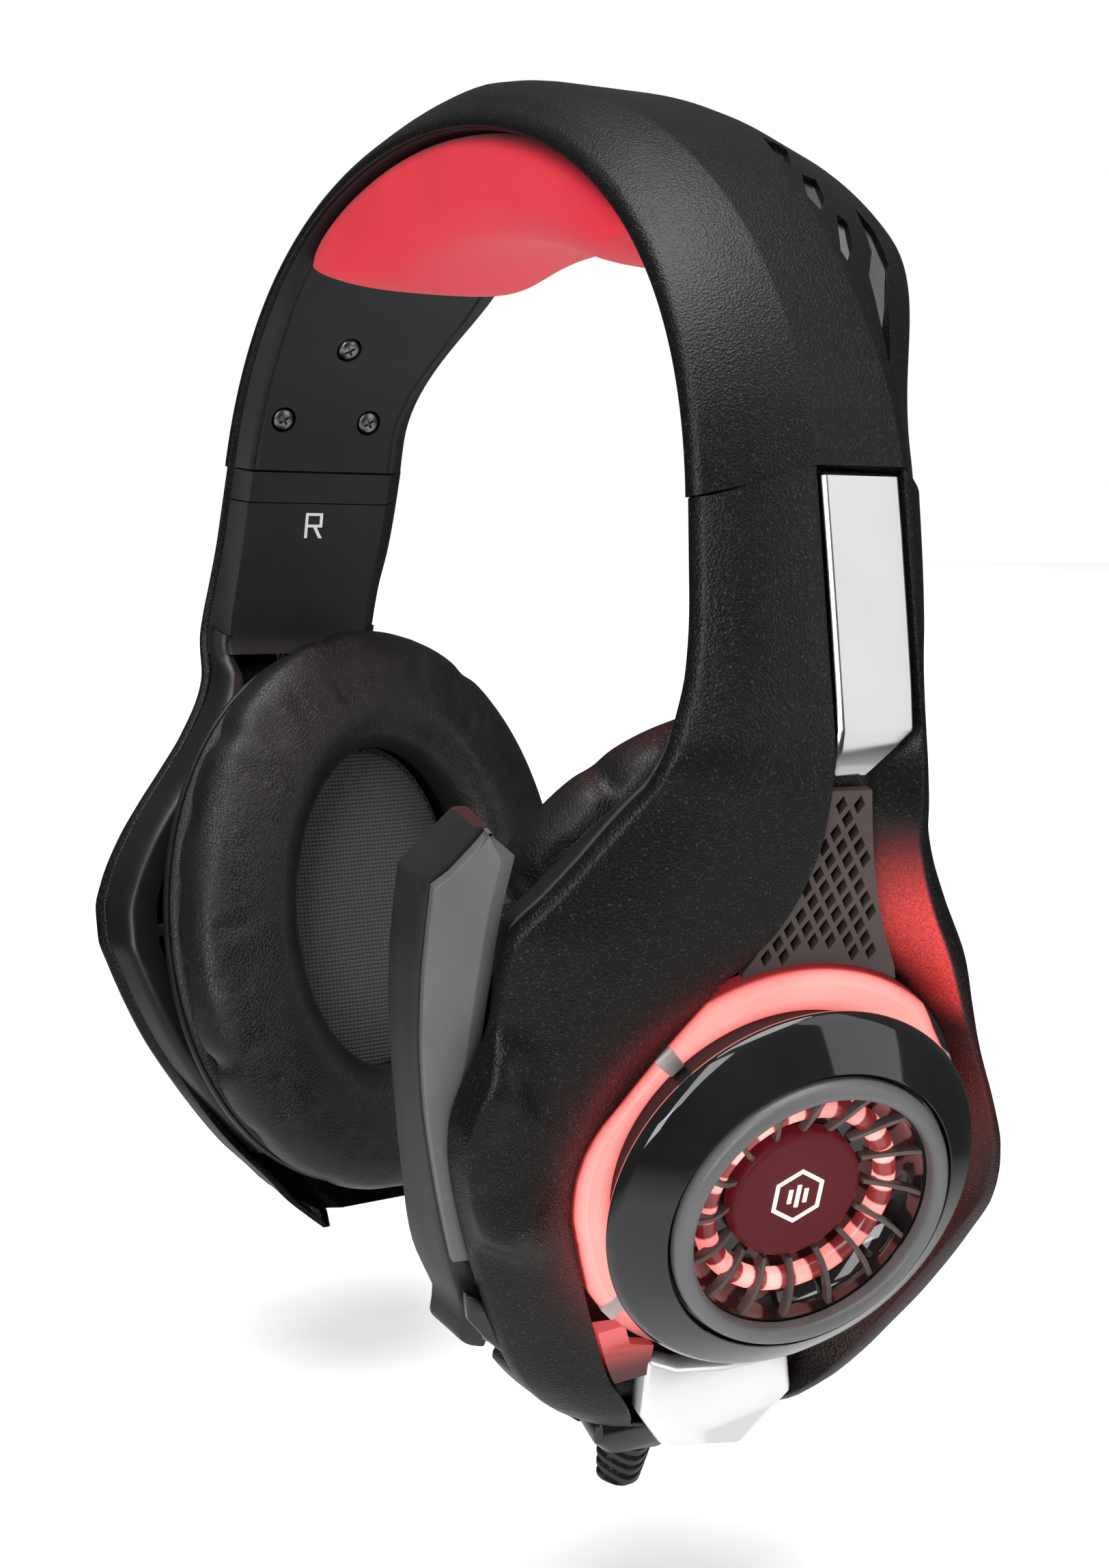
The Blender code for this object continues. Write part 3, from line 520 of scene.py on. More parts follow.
def diffuser(name, core, edge, strength):
    """Lit plastic: bright where the attribute 'glow' is 1 and deep red where it is 0."""
    made, tree, body = shader(name, (0.75, 0.10, 0.09), 0.22, Coat_Weight=0.4)
    glow = attribute(tree, "glow")
    ramp = node(tree, "ShaderNodeValToRGB", Fac=glow)
    stops = ramp.color_ramp.elements
    stops[0].color = (*edge, 1.0)
    stops[1].color = (*core, 1.0)
    stops.new(0.5).color = (*[0.5 * (a + b) for a, b in zip(core, edge)], 1.0)
    uneven = remap(tree, noise(tree, 70.0, 1.0), 0.3, 0.7, 0.9 * strength, 1.1 * strength)
    wire(tree, body, Emission_Color=ramp.outputs["Color"],
         Emission_Strength=times(tree, remap(tree, glow, 0.0, 0.45, 0.02, 1.0), uneven),
         Base_Color=mix_colour(tree, glow, (0.05, 0.003, 0.004), (0.80, 0.20, 0.18)))
    return made


grained = grained_plastic("black_textured")
grained_lit = grained_plastic("black_textured_lit", True)
smooth_black = satin_plastic("black_smooth", JET, JET_LIGHT, 0.36)
lining_black = satin_plastic("lining_black", JET, JET_LIGHT, 0.52, 1400.0, 0.05)
gloss_black = gloss_plastic("black_gloss")
grey_satin = satin_plastic("grey_satin", (0.095, 0.095, 0.098), (0.115, 0.115, 0.118), 0.36,
                           1900.0, 0.05)
boom_black = satin_plastic("boom_black", (0.014, 0.014, 0.015), (0.019, 0.019, 0.020), 0.36,
                           1900.0, 0.05)
vane_grey = satin_plastic("vane_grey", (0.075, 0.052, 0.050), (0.10, 0.075, 0.070), 0.26)
chrome = plated("chrome", (0.61, 0.61, 0.62), 0.13)
silver = plated("silver", (0.90, 0.90, 0.91), 0.20, 0.55)
steel = plated("steel", (0.24, 0.24, 0.245), 0.32)
screw_black = plated("screw_black", (0.24, 0.24, 0.245), 0.28)
pad_leather = leatherette("leatherette")
ear_cloth = knit("ear_fabric", (0.022, 0.022, 0.023), (0.075, 0.075, 0.078))
red_cloth = cushion_cloth("red_foam")
rubber = satin_plastic("rubber", (0.012, 0.012, 0.0125), (0.018, 0.018, 0.019), 0.42)
grille_plastic = satin_plastic("grille", (0.050, 0.034, 0.032), (0.070, 0.050, 0.046), 0.45)
divider_grey = satin_plastic("divider_grey", (0.40, 0.33, 0.32), (0.47, 0.40, 0.39), 0.3)
letter_paint = satin_plastic("letter_paint", (0.62, 0.62, 0.63), (0.70, 0.70, 0.71), 0.5)
circuit = satin_plastic("circuit", (0.012, 0.09, 0.03), (0.02, 0.12, 0.05), 0.5)
light_red = diffuser("light_diffuser", (1.0, 0.34, 0.31), (0.72, 0.012, 0.022), 1.05)
tube_red = diffuser("light_tube", (1.0, 0.42, 0.38), (0.62, 0.010, 0.018), 1.15)


def badge_look():
    """Dark red translucent disc, lit evenly from behind."""
    made, tree, body = shader("badge", (0.050, 0.004, 0.006), 0.45, Specular_IOR_Level=0.25,
                              Emission_Color=(0.36, 0.022, 0.035, 1.0))
    wire(tree, body, Emission_Strength=remap(tree, noise(tree, 55.0, 1.0), 0.3, 0.7, 0.14, 0.18))
    bump(tree, body, noise(tree, 1800.0, 1.0), 0.02, 0.4)
    return made


def mark_look():
    made, tree, body = shader("emblem_light", (1.0, 0.75, 0.72), 0.4,
                              Emission_Color=(1.0, 0.62, 0.58, 1.0))
    wire(tree, body, Emission_Strength=remap(tree, noise(tree, 90.0, 1.0), 0.3, 0.7, 1.0, 1.25))
    return made


badge_red = badge_look()
mark_light = mark_look()


# Headband

def arch_point(t):
    """Rim line of the arch and its outward normal, in X and Z. t is 0 on top, 1 at the joint."""
    top, reach = Vector((0.0, 208.9)), Vector((32.3, 208.9))
    shoulder, joint = Vector((78.0, 194.4)), Vector((86.0, 149.0))
    side = -1.0 if t < 0 else 1.0
    s = abs(t)
    spot = (top * (1 - s) ** 3 + reach * (3 * (1 - s) ** 2 * s)
            + shoulder * (3 * (1 - s) * s * s) + joint * s ** 3)
    run = ((reach - top) * (1 - s) ** 2 + (shoulder - reach) * (2 * (1 - s) * s)
           + (joint - shoulder) * (s * s)).normalized()
    return Vector((side * spot.x, spot.y)), Vector((-side * run.y, run.x))


def band_point(t, y, level):
    spot, normal = arch_point(t)
    place = spot + normal * level
    return Vector((place.x, y, place.y)) + REST


def band_edges(t):
    s = abs(t)
    return -17.0 - 2.8 * s * s, 17.4 + 10.6 * ease(0.95, 0.62, s)


# Below this level the band's section doesn't follow the peaked joint.
RIM_SKIRT = -1.4
RIDGE_BACK = curve_of(
    (0.0, 13.0), (0.45, 11.4), (0.6, 9.8), (0.74, 9.8), (0.88, 11.2), (1.0, 12.4))


def band_ridges(t):
    s = abs(t)
    return 6.0 - 2.0 * s, -9.0 + 6.2 * s, RIDGE_BACK(s)


def band_corners(t):
    """Outer corners of the band's section: Y, level and how softly each is rounded."""
    front, back = band_edges(t)
    crown, ridge_front, ridge_back = band_ridges(t)
    soft = 0.35 + 4.0 * max(0.0, 1.0 - abs(t) / 0.7) ** 2
    front -= 0.8 + 0.7 * abs(t)
    return [(front + 0.4, -2.7, 0.3), (front, -1.6, 0.7), (front + 0.9, -0.1, 0.9),
            (0.5 * (front + ridge_front), 0.60 * crown, 4.0), (ridge_front, crown, soft),
            (ridge_back, crown, soft), (0.35 * back + 0.65 * ridge_back, 0.80 * crown, 1.0),
            (back - 0.9, 0.9, 1.0), (back + 0.4, -1.2, 0.8), (back - 0.3, -2.7, 0.3)]


def band_top(t, y):
    """Level of the band's outer face at one place."""
    corners = band_corners(t)
    return float(np.interp(y, [c[0] for c in corners[1:9]], [c[1] for c in corners[1:9]]))


def band_at_x(x):
    """Arch position whose rim point has this X."""
    low, high = 0.0, 1.0
    for _ in range(40):
        middle = 0.5 * (low + high)
        if arch_point(middle)[0].x < x:
            low = middle
        else:
            high = middle
    return low


def build_band():
    rings = []
    for t in spread(-1.0, 1.0, 161):
        front, back = band_edges(t)
        crown, ridge_front, ridge_back = band_ridges(t)

        def seat(y, level):
            """The band's ends are cut in a low peak, to meet the arms."""
            rise = 0.0
            if level >= RIM_SKIRT:
                rise = ease(front + 0.4, -2.0, y) * ease(back - 0.3, 12.4, y)
            away = 0.0285 * rise * ease(0.80, 1.0, abs(t))
            return band_point(t - away if t > 0 else t + away, y, level)

        inside = [(back - 1.6, -2.7, 0.3), (back - 2.0, RIM_SKIRT, 0.5),
                  (ridge_back, crown - 2.1, 2.0), (ridge_front, crown - 2.1, 2.0),
                  (front + 1.6, -1.2, 0.5), (front + 1.4, -2.7, 0.3)]
        rings.append(rounded(band_corners(t) + inside, 3, seat))
    band = skin("band_crown", rings, grained, angle=38.0)
    for side, _ in SIDES:
        for outline in VENTS:
            band = carve(band, skin("vent_cutter", vent_rings(side, outline, -4.5, 3.0), angle=0))
    mount(band, "headband", "black_textured", "headband_shell")
    for side, word in SIDES:
        inserts = [vent_insert(side, outline) for outline in VENTS]
        mount(join("band_vents_" + word, inserts), "headband", "black_smooth")


# Vents in the slope behind the crown: corners as (X along the band, Y).
VENTS = (
    ((45.4, 14.2), (47.6, 17.4), (54.6, 12.9), (53.0, 11.4)),
    ((56.4, 13.8), (56.8, 16.4), (61.8, 14.2), (64.6, 11.6), (61.8, 10.8)),
    ((64.2, 14.8), (65.0, 16.2), (69.6, 13.8), (72.2, 11.6), (70.2, 10.9)),
    ((60.4, 21.8), (64.4, 22.6), (69.9, 21.4), (75.2, 17.0), (80.4, 12.9), (76.6, 13.7),
     (72.6, 14.8), (69.0, 18.4)),
)


def vent_point(side, x, y, level):
    t = band_at_x(x)
    return band_point(side * t, y, band_top(t, y) + level)


def vent_rings(side, outline, low, high):
    return [[vent_point(side, x, y, level) for x, y in outline] for level in (low, high)]


def vent_insert(side, outline):
    """Slanted gloss floor of one vent, high at one side and deep at the other."""
    middle = len(outline) / 2
    rings = [[vent_point(side, x, y, (-1.0 if i < middle else -2.9) + extra)
              for i, (x, y) in enumerate(outline)] for extra in (0.0, -0.7)]
    return skin("vent_insert", rings, smooth_black, angle=25.0)


SCREW_SPOTS = ((0.775, -0.4), (0.915, -11.2), (0.915, 7.5))


def screw_place(side, t, y):
    spot, normal = arch_point(side * t)
    out = Vector((normal.x, 0.0, normal.y))
    ahead = Vector((0.0, 1.0, 0.0))
    turn = Matrix((ahead.cross(-out), ahead, -out)).transposed().to_4x4()
    return Matrix.Translation((Vector((spot.x, y, spot.y)) + REST) * MM) @ turn


# Level of the lining under the arch: close to the rim on top, deeper over the sliders.
LINING_LEVEL = curve_of((0.0, -3.1), (0.5, -3.2), (0.68, -4.0), (0.78, -4.9), (1.0, -5.05))


def build_lining():
    rings = []
    groove = 0.35
    for t in spread(-0.9995, 0.9995, 121):
        front, back = band_edges(t)
        low = LINING_LEVEL(abs(t))
        high = low + 1.6
        ahead, behind = front + 2.6, back - 2.6
        corners = [
            (front - 0.1, -2.75, 0.2), (front + 0.5, -3.0, 0.2), (ahead, low, 0.6),
            (ahead + 0.9, low, 0.12), (ahead + 1.05, low + groove, 0.1),
            (ahead + 1.35, low + groove, 0.1), (ahead + 1.5, low, 0.12),
            (behind - 1.5, low, 0.12), (behind - 1.35, low + groove, 0.1),
            (behind - 1.05, low + groove, 0.1), (behind - 0.9, low, 0.12), (behind, low, 0.6),
            (back - 0.5, -3.0, 0.2), (back + 0.1, -2.75, 0.2), (behind, high, 0.3),
            (ahead, high, 0.3)]
        rings.append(rounded(corners, 1, lambda y, level: band_point(t, y, level)))
    lining = skin("band_lining", rings, lining_black, angle=40.0)
    for side, _ in SIDES:
        for t, y in SCREW_SPOTS:
            hole = lathe("hole", [(2.65, 8.0), (2.65, 2.0), (0.0, 2.0), (0.0, 8.0)],
                         screw_place(side, t, y), steps=32, closed=False)
            lining = carve(lining, hole)
    mount(lining, "headband", "black_smooth", "headband_inner_cover")
    for side, word in SIDES:
        for number, (t, y) in enumerate(SCREW_SPOTS, 1):
            head = screw_head(screw_place(side, t, y))
            head.name = "lining_screw_" + word + "_" + str(number)
            mount(head, "headband", "steel", "cover_screw_" + word + "_" + str(number))


def screw_head(place):
    """Domed head with a cross recess."""
    head = lathe("screw_head", soft_profile([
        (0.0, 5.3), (1.2, 5.25), (2.0, 4.95), (2.3, 4.4), (2.3, 3.7), (0.0, 3.7)],
        0.12, 2), place, screw_black, 40, closed=False)
    for turn in (0.6, 0.6 + pi / 2):
        spin = Matrix.Rotation(turn, 4, "Z")
        bar = slab("cross", [box_outline(0.0, 1.15, 0.24)], place @ spin, 4.4, 6.0)
        head = carve(head, bar)
    return head


def box_outline(x, half_wide, half_high):
    return [(x - half_wide, -half_high), (x + half_wide, -half_high),
            (x + half_wide, half_high), (x - half_wide, half_high)]


def simulate(obj, pressure, cap, pinned, slack=0.0):
    """Let a skin swell and settle as cloth, then keep at most 'cap' millimetres of movement."""
    start = np.array([v.co for v in obj.data.vertices])
    obj.vertex_groups.new(name="seam").add(pinned, 1.0, "REPLACE")
    mod = obj.modifiers.new("cloth", "CLOTH")
    settings = mod.settings
    settings.quality = 5
    settings.mass = 0.25
    settings.use_pressure = True
    settings.uniform_pressure_force = pressure
    settings.effector_weights.gravity = 0.0
    settings.tension_stiffness = 12.0
    settings.compression_stiffness = 6.0
    settings.bending_stiffness = 0.4
    if slack:
        settings.shrink_min = -slack
    settings.vertex_group_mass = "seam"
    mod.collision_settings.use_self_collision = False
    scene = bpy.context.scene
    mod.point_cache.frame_start = 1
    mod.point_cache.frame_end = CLOTH_FRAMES
    for number in range(1, CLOTH_FRAMES + 1):
        scene.frame_set(number)
    mesh = evaluated(obj)
    shift = np.array([v.co for v in mesh.vertices]) - start
    size = np.linalg.norm(shift, axis=1, keepdims=True)
    limit = cap * MM
    shift *= np.where(size > limit, limit / np.maximum(size, 1e-9), 1.0)
    obj.modifiers.clear()
    for vertex, place in zip(obj.data.vertices, start + shift):
        vertex.co = place
    bpy.data.meshes.remove(mesh)
    scene.frame_set(1)


def bulge(value, power):
    """A cosine or sine made squarer, with its sign kept."""
    return abs(value) ** power * (1 if value >= 0 else -1)


def build_crown_cushion():
    """Thick red cushion, thin and pointed at its two ends, with a soft edge all round."""
    rings = []
    reach, layers, around = 0.60, 73, 28
    for t in spread(-reach, reach, layers):
        front, back = band_edges(t)
        share = abs(t) / reach
        thick = 16.6 - 4.4 * share ** 2 - 9.0 * share ** 9
        inset = -0.4 + 1.0 * share ** 2 + 3.4 * share ** 12
        tip = sqrt(max(0.0, 1.0 - share ** 24))
        ahead, behind = front + inset, back - inset
        top = LINING_LEVEL(abs(t)) + 0.35
        ring = []
        for k in range(around):
            turn = tau * k / around
            c, s = cos(turn), sin(turn)
            wide = bulge(c, 0.30 if s > 0 else 0.62)
            deep = bulge(s, 0.45 if s > 0 else 0.75)
            y = 0.5 * (ahead + behind) + 0.5 * (behind - ahead) * wide
            level = top - 0.5 * thick * tip * (1.0 - deep) - 0.2 * (1 - tip)
            ring.append(band_point(t, y, level))
        rings.append(ring)
    pad = skin("crown_cushion", rings, red_cloth, angle=0)
    glued = [j * around + k for j in range(layers) for k in range(2, 13)]
    simulate(pad, 3.0, 1.2, glued)
    subdivide(pad)
    mount(pad, "headband", "red_foam", "crown_pad")


# Arms. s runs down the arm: above 0 on the straight upper arm, below 0 on the cup's plane.

def cup(a, b, d):
    return HUB + BACK * a + UP * b + OUT * d


def arm_frame(s):
    """Origin, back, up and out directions at s, rounded where the arm meets the cup plane."""
    bend = 6.0
    w = ease(-bend, bend, s)
    back = BACK.lerp(Vector((0.0, 1.0, 0.0)), w).normalized()
    up = UP.lerp(ARM_UP, w).normalized()
    out = OUT.lerp(ARM_OUT, w).normalized()
    if abs(s) < bend:
        u = (s + bend) / (2 * bend)
        low, high = KNEE - UP * bend, KNEE + ARM_UP * bend
        origin = low.lerp(KNEE, u).lerp(KNEE.lerp(high, u), u)
    else:
        origin = KNEE + (ARM_UP if s > 0 else UP) * s
    return origin, back, up, out


def arm_at(s, a, h, drop=0.0):
    origin, back, up, out = arm_frame(s)
    return origin + back * a + up * drop + out * h


FRONT = curve_of(
    (39.6, -20.6), (31.4, -21.2), (23.7, -21.8), (15.3, -23.2), (9, -25.4), (2.9, -28.0),
    (-1, -29.4), (-3.5, -31.0), (-8, -34.4), (-13.3, -38.2), (-18.5, -42.4), (-23.8, -46.7),
    (-31.3, -47.2), (-36, -47.5), (-40.2, -48.2), (-47.6, -50.6), (-52, -51.3), (-57.1, -50.9),
    (-62, -49.8), (-67, -48.3), (-76.3, -45.0), (-88.3, -40.0), (-97, -35.6), (-103, -30.9),
    (-108, -25.6), (-112, -20.6), (-115, -16.6))
# The right wing has no microphone beside it and runs straight from the knee to its tip.
FRONT_RIGHT = curve_of(
    (39.6, -20.6), (31.4, -21.0), (23.7, -21.4), (15.3, -22.2), (9, -22.9), (2, -23.4),
    (-4, -24.0), (-8, -25.2), (-16.8, -30.4), (-23.7, -35.9), (-30, -41.2), (-37, -46.5),
    (-45, -51.0), (-50.5, -52.8), (-56, -52.9), (-61, -51.6), (-75, -46.4), (-86.4, -40.1),
    (-98, -32.2), (-105, -26.0), (-108, -23.8), (-112, -19.6), (-115, -16.2))
CHANNEL_FRONT = curve_of(
    (39.6, -2.8), (19.5, -3.0), (0, -3.0), (-7, -2.9), (-14.6, -4.2), (-22, -7.4), (-30.5, -15.0),
    (-40, -22.2), (-48.2, -27.6), (-53, -30.6), (-57.2, -32.2), (-62, -32.8), (-66.9, -32.4),
    (-73, -30.6), (-81, -27.9), (-89, -24.8), (-97.7, -21.1), (-103.8, -16.8), (-108, -14.4),
    (-115, -11.2))
CHANNEL_BACK = curve_of(
    (39.6, 12.4), (19.5, 12.3), (0, 12.2), (-6, 12.5), (-13, 14.8), (-20, 18.2), (-28.5, 23.3),
    (-36, 27.0), (-43, 30.4), (-50, 34.2), (-58, 38.0), (-64, 39.9), (-70.8, 40.4), (-77, 37.4),
    (-84, 32.8), (-95, 24.4), (-103, 18.4), (-108, 14.4), (-115, 11.6))
BACK_EDGE = curve_of(
    (39.6, 18.2), (31.4, 17.9), (23, 17.3), (14, 16.0), (7.6, 15.6), (1, 15.4), (-5.6, 16.2),
    (-10.6, 17.9), (-19, 22.4), (-30.3, 29.2), (-38, 32.2), (-46.6, 35.7), (-55, 40.0),
    (-64, 44.1), (-70, 45.4), (-74, 45.5), (-80, 43.2), (-90.5, 37.0), (-97.4, 31.2),
    (-105.5, 23.9), (-110, 19.2), (-115, 14.4))
FLOOR_BACK = curve_of(
    (39.6, 12.0), (7.2, 12.0), (6.0, 11.3), (1.0, 4.6), (-6, 5.6), (-10, 6.9), (-20, 9.9),
    (-26, 12.4), (-30.6, 15.7), (-34, 19.0), (-41, 23.6), (-49.5, 29.2), (-54, 31.0), (-58, 31.8),
    (-65.5, 31.5), (-80, 27.0), (-97, 19.0), (-108, 14.0), (-115, 11.2))
# Lowest level of the smooth inner housing under the shell.
WALL_LEVEL = curve_of(
    (39.6, -5.0), (31.4, -5.3), (19.5, -5.9), (7.6, -7.0), (0, -8.4), (-6, -9.4), (-16, -11.2),
    (-115, -11.4))
# How far the textured shell's own rim reaches down. It is a thin lip until low on the wings.
LIP_LEVEL = curve_of(
    (39.6, -2.4), (0, -3.0), (-30, -3.8), (-78, -4.0), (-86, -5.4), (-94, -9.0), (-100, -11.4),
    (-115, -11.4))
SINK = curve_of(
    (-100, 0.0), (-105, -0.7), (-108.5, -2.2), (-111, -4.2), (-113.5, -7.4), (-115, -9.6))
BOOM_BACK_EDGE = curve_of(
    (-12, -45.8), (-22, -47.2), (-42, -46.7), (-50, -47.0), (-60.5, -46.0), (-74, -42.8),
    (-86, -38.2), (-89, -34.9))
BUMP_LINE = ((-41.2, 23.0), (-46.1, 20.5), (-49.0, 16.2), (-50.6, 8.8), (-48.9, -0.5),
             (-45.0, -6.6), (-39.0, -9.4), (-32.6, -10.2))


def bump_height(a, b):
    """Raised shoulder on the left front wing, beside the folded microphone."""
    best, place, side = 1e9, 0.0, 0.0
    total = len(BUMP_LINE) - 1
    for i, ((x0, y0), (x1, y1)) in enumerate(zip(BUMP_LINE[:-1], BUMP_LINE[1:])):
        dx, dy = x1 - x0, y1 - y0
        u = min(1.0, max(0.0, ((a - x0) * dx + (b - y0) * dy) / (dx * dx + dy * dy)))
        reach = hypot(a - x0 - u * dx, b - y0 - u * dy)
        if reach < best:
            best, place = reach, (i + u) / total
            side = dx * (b - y0) - dy * (a - x0)
    fade = ease(0.0, 0.25, place) * ease(1.0, 0.70, place)
    width = 7.5 if side > 0 else 2.4
    return 4.2 * fade * exp(-(best / width) ** 2)


def seam_lift(s, a):
    """The joint line rises in a low peak over the middle of the arm."""
    rise = ease(FRONT(s) + 1.0, -2.0, a) * ease(BACK_EDGE(s) + 0.5, 12.2, a)
    return 3.9 * rise * ease(24.0, 39.3, s)


def wing_front(s, with_boom):
    return FRONT(s) if with_boom else FRONT_RIGHT(s)


def shell_front(s, with_boom):
    """Front edge of the shell's underside. The left one gives way to the microphone."""
    front = wing_front(s, with_boom)
    if with_boom and s < -20.0:
        return max(front, BOOM_BACK_EDGE(s) + 0.9) if s > -89.0 else max(front, -34.2)
    return front


# Rounded top of the wing between its front edge and the channel.
TOP_SHARES = [0.04 + 0.06 * i for i in range(16)]
TOP_LEVEL = curve_of(
    (0.0, -0.1), (0.10, 0.8), (0.2, 1.55), (0.3, 2.2), (0.42, 2.8), (0.56, 3.3), (0.72, 3.65),
    (0.87, 3.9), (1.0, 4.0))


def shell_ring(s, with_boom):
    front, back = wing_front(s, with_boom), BACK_EDGE(s)
    cf, cb, fb = CHANNEL_FRONT(s), CHANNEL_BACK(s), FLOOR_BACK(s)
    sink = SINK(s)
    lip = LIP_LEVEL(s)
    inner = shell_front(s, with_boom)
    flare = ease(-82.0, -96.0, s)
    drop = 0.30 * (lip + 4.0) - 1.2 * flare
    rim = max(lip, -11.5) - sink
    floor = 1.0 - 3.0 * ease(-22.0, -38.0, s)
    depth = 4.0 if s > -100 else 4.0 - 1.2 * ease(-100.0, -115.0, s)

    def lift(a):
        return bump_height(a, s + KNEE_RISE) if with_boom and s < -20.0 else 0.0

    def seat(a, h, fall):
        up = seam_lift(s, a) if h > -1.7 else 0.0
        return arm_at(s, a, h + sink, fall + up)

    corners = [
        (inner + 1.0 - 0.8 * flare, rim, drop, 0.25), (inner, max(rim, -2.3), 0.0, 0.25),
        (front + 0.05, -2.2 if lip > -6 else -2.6, 0.0, 0.3),
        (front, -1.5, 0.0, 0.5), (front + 0.9, -0.1 + lift(front + 0.9), 0.0, 0.5)]
    for share in TOP_SHARES:
        a = front + 0.9 + share * (cf - front - 0.9)
        corners.append((a, TOP_LEVEL(share) + lift(a), 0.0, 0))
    corners += [
        (cf, depth, 0.0, 0.35), (cf + 0.3, floor, 0.0, 0.3), (fb, floor, 0.0, 0.4),
        (cb, depth, 0.0, 0.35), (cb + 0.3 * (back - cb), 3.5, 0.0, 0),
        (cb + 0.65 * (back - cb), 2.5, 0.0, 0.8), (back - 0.8, 1.0, 0.0, 0.8),
        (back, -1.6, 0.0, 0.7), (back - 0.5, rim, drop, 0.25), (back - 1.7, rim, drop, 0.25),
        (back - 1.6, max(rim + 0.8, -2.0), 0.0, 0.5), (0.5 * (back + cb), 0.6, 0.0, 0.8),
        (max(fb, cb - 1.5) + 1.3, 0.9, 0.0, 0.4), (fb + 0.9, floor - 1.5, 0.0, 0.3),
        (cf - 1.0, floor - 1.5, 0.0, 0.3), (cf - 1.9, 1.0, 0.0, 0.4),
        (0.5 * (inner + cf), 0.4, 0.0, 0.8), (inner + 2.0, max(rim + 0.8, -1.9), 0.0, 0.5),
        (inner + 1.9, rim, drop, 0.25)]
    return rounded(corners, 2, seat)


def housing_wall(section):
    """One wall of the inner housing, from a function that gives its corners at s."""
    rings = [rounded(section(s), 2, lambda a, h, fall: arm_at(s, a, h, fall))
             for s in spread(7.0, -100.0, 72)]
    return skin("wall", rings, smooth_black)


def build_inner_housing():
    """Smooth housing under the textured shell: a groove, a wall and a flat underside."""
    def behind(s):
        back, wall = BACK_EDGE(s), WALL_LEVEL(s)
        drop, reach = 0.16 * wall, 5.0 + 2.0 * ease(0.0, -20.0, s)
        return [(back - 1.3, -2.2, 0.0, 0.3), (back - 3.0, -0.6, 0.0, 0.5),
                (back - reach, wall + 1.2, drop, 0.3), (back - reach, wall, drop, 0.3),
                (back - 3.0, wall, drop, 0.6), (back - 1.6, wall + 1.4, drop, 0.9),
                (back - 0.8, -4.4, 0.0, 0.3), (back - 1.4, -3.9, 0.0, 0.3)]

    for side, word in SIDES:
        def ahead(s):
            inner, wall = shell_front(s, side > 0), WALL_LEVEL(s)
            drop, reach = 0.16 * wall, 5.0 + 3.5 * ease(0.0, -20.0, s)
            return [(inner + 1.5, -2.2, 0.0, 0.3), (inner + 1.6, -3.9, 0.0, 0.3),
                    (inner + 0.9, -4.4, 0.0, 0.3), (inner + 2.0, wall + 1.4, drop, 0.9),
                    (inner + 3.4, wall, drop, 0.6), (inner + reach, wall, drop, 0.3),
                    (inner + reach, wall + 1.2, drop, 0.3), (inner + 3.2, -0.6, 0.0, 0.5)]

        housing = join("wing_housing_" + word, [housing_wall(ahead), housing_wall(behind)])
        if side < 0:
            housing = moved_right(housing, "wing_housing_right")
        mount(housing, "arm_" + word, "black_smooth")


def light_spill(mesh):
    """How much of the hub's red light each point of the arm shell catches, to be painted on as red colour and
    emission.
    """
    values = []
    for vertex in mesh.vertices:
        place, normal = vertex.co / MM, vertex.normal.copy()
        if place.x < 0:
            place = Vector((-place.x, place.y, place.z))
            normal.x = -normal.x
        local = place - HUB
        a, b, d = local.dot(BACK), local.dot(UP), local.dot(OUT)
        s = b - KNEE_RISE
        radius = hypot(a, b)
        facing = ease(-18.5, -12.5, d) * ease(-8.0, -12.2, d)
        slope = ease(-0.6, 0.8, a - FLOOR_BACK(max(-42.0, min(0.0, s))))
        inside = ease(CHANNEL_BACK(s) + 0.3, CHANNEL_BACK(s) - 0.6, a)
        top = (facing * slope * inside * ease(4.0, 9.0, a) * ease(58.0, 40.0, b)
               * ease(20.0, 27.0, b))
        back_face = ease(30.0, 33.0, radius) * exp(-max(0.0, radius - 34.0) / 3.2)
        low = 0.35 * back_face * ease(22.0, 0.0, b) * ease(4.0, 14.0, a)
        rim = 0.16 * exp(-abs(radius - 34.0) / 2.2) * ease(-16.0, -13.0, d)
        values.append(min(1.0, top + low + rim) * ease(0.0, 0.35, normal.dot(OUT)))
    paint(mesh, "spill", values)


def arm_steps():
    steps = spread(39.5, 9.0, 22) + spread(8.0, -8.0, 15) + spread(-9.3, -103.0, 78)
    return steps + [-105.0, -107.0, -108.8, -110.4, -111.8, -113.0, -114.0, -114.7, -115.0]


def build_shells():
    for side, word in SIDES:
        rings = [shell_ring(s, side > 0) for s in arm_steps()]
        rings = [[Vector((side * p.x, p.y, p.z)) for p in ring] for ring in rings]
        shell = skin("arm_housing_" + word, rings, grained_lit, angle=38.0)
        light_spill(shell.data)
        mount(shell, "arm_" + word, "black_textured", "arm_shell_" + word)


def strap(name, stations, look, radius, angle=35.0):
    """A bar along the arm: stations give s and the section corners (a, h)."""
    rings = []
    for s, corners in stations:
        ring = [arm_at(s, a, h) for a, h in corners]
        rings.append(fillet(ring, [radius] * len(ring), 2))
    return skin(name, rings, look, angle=angle)


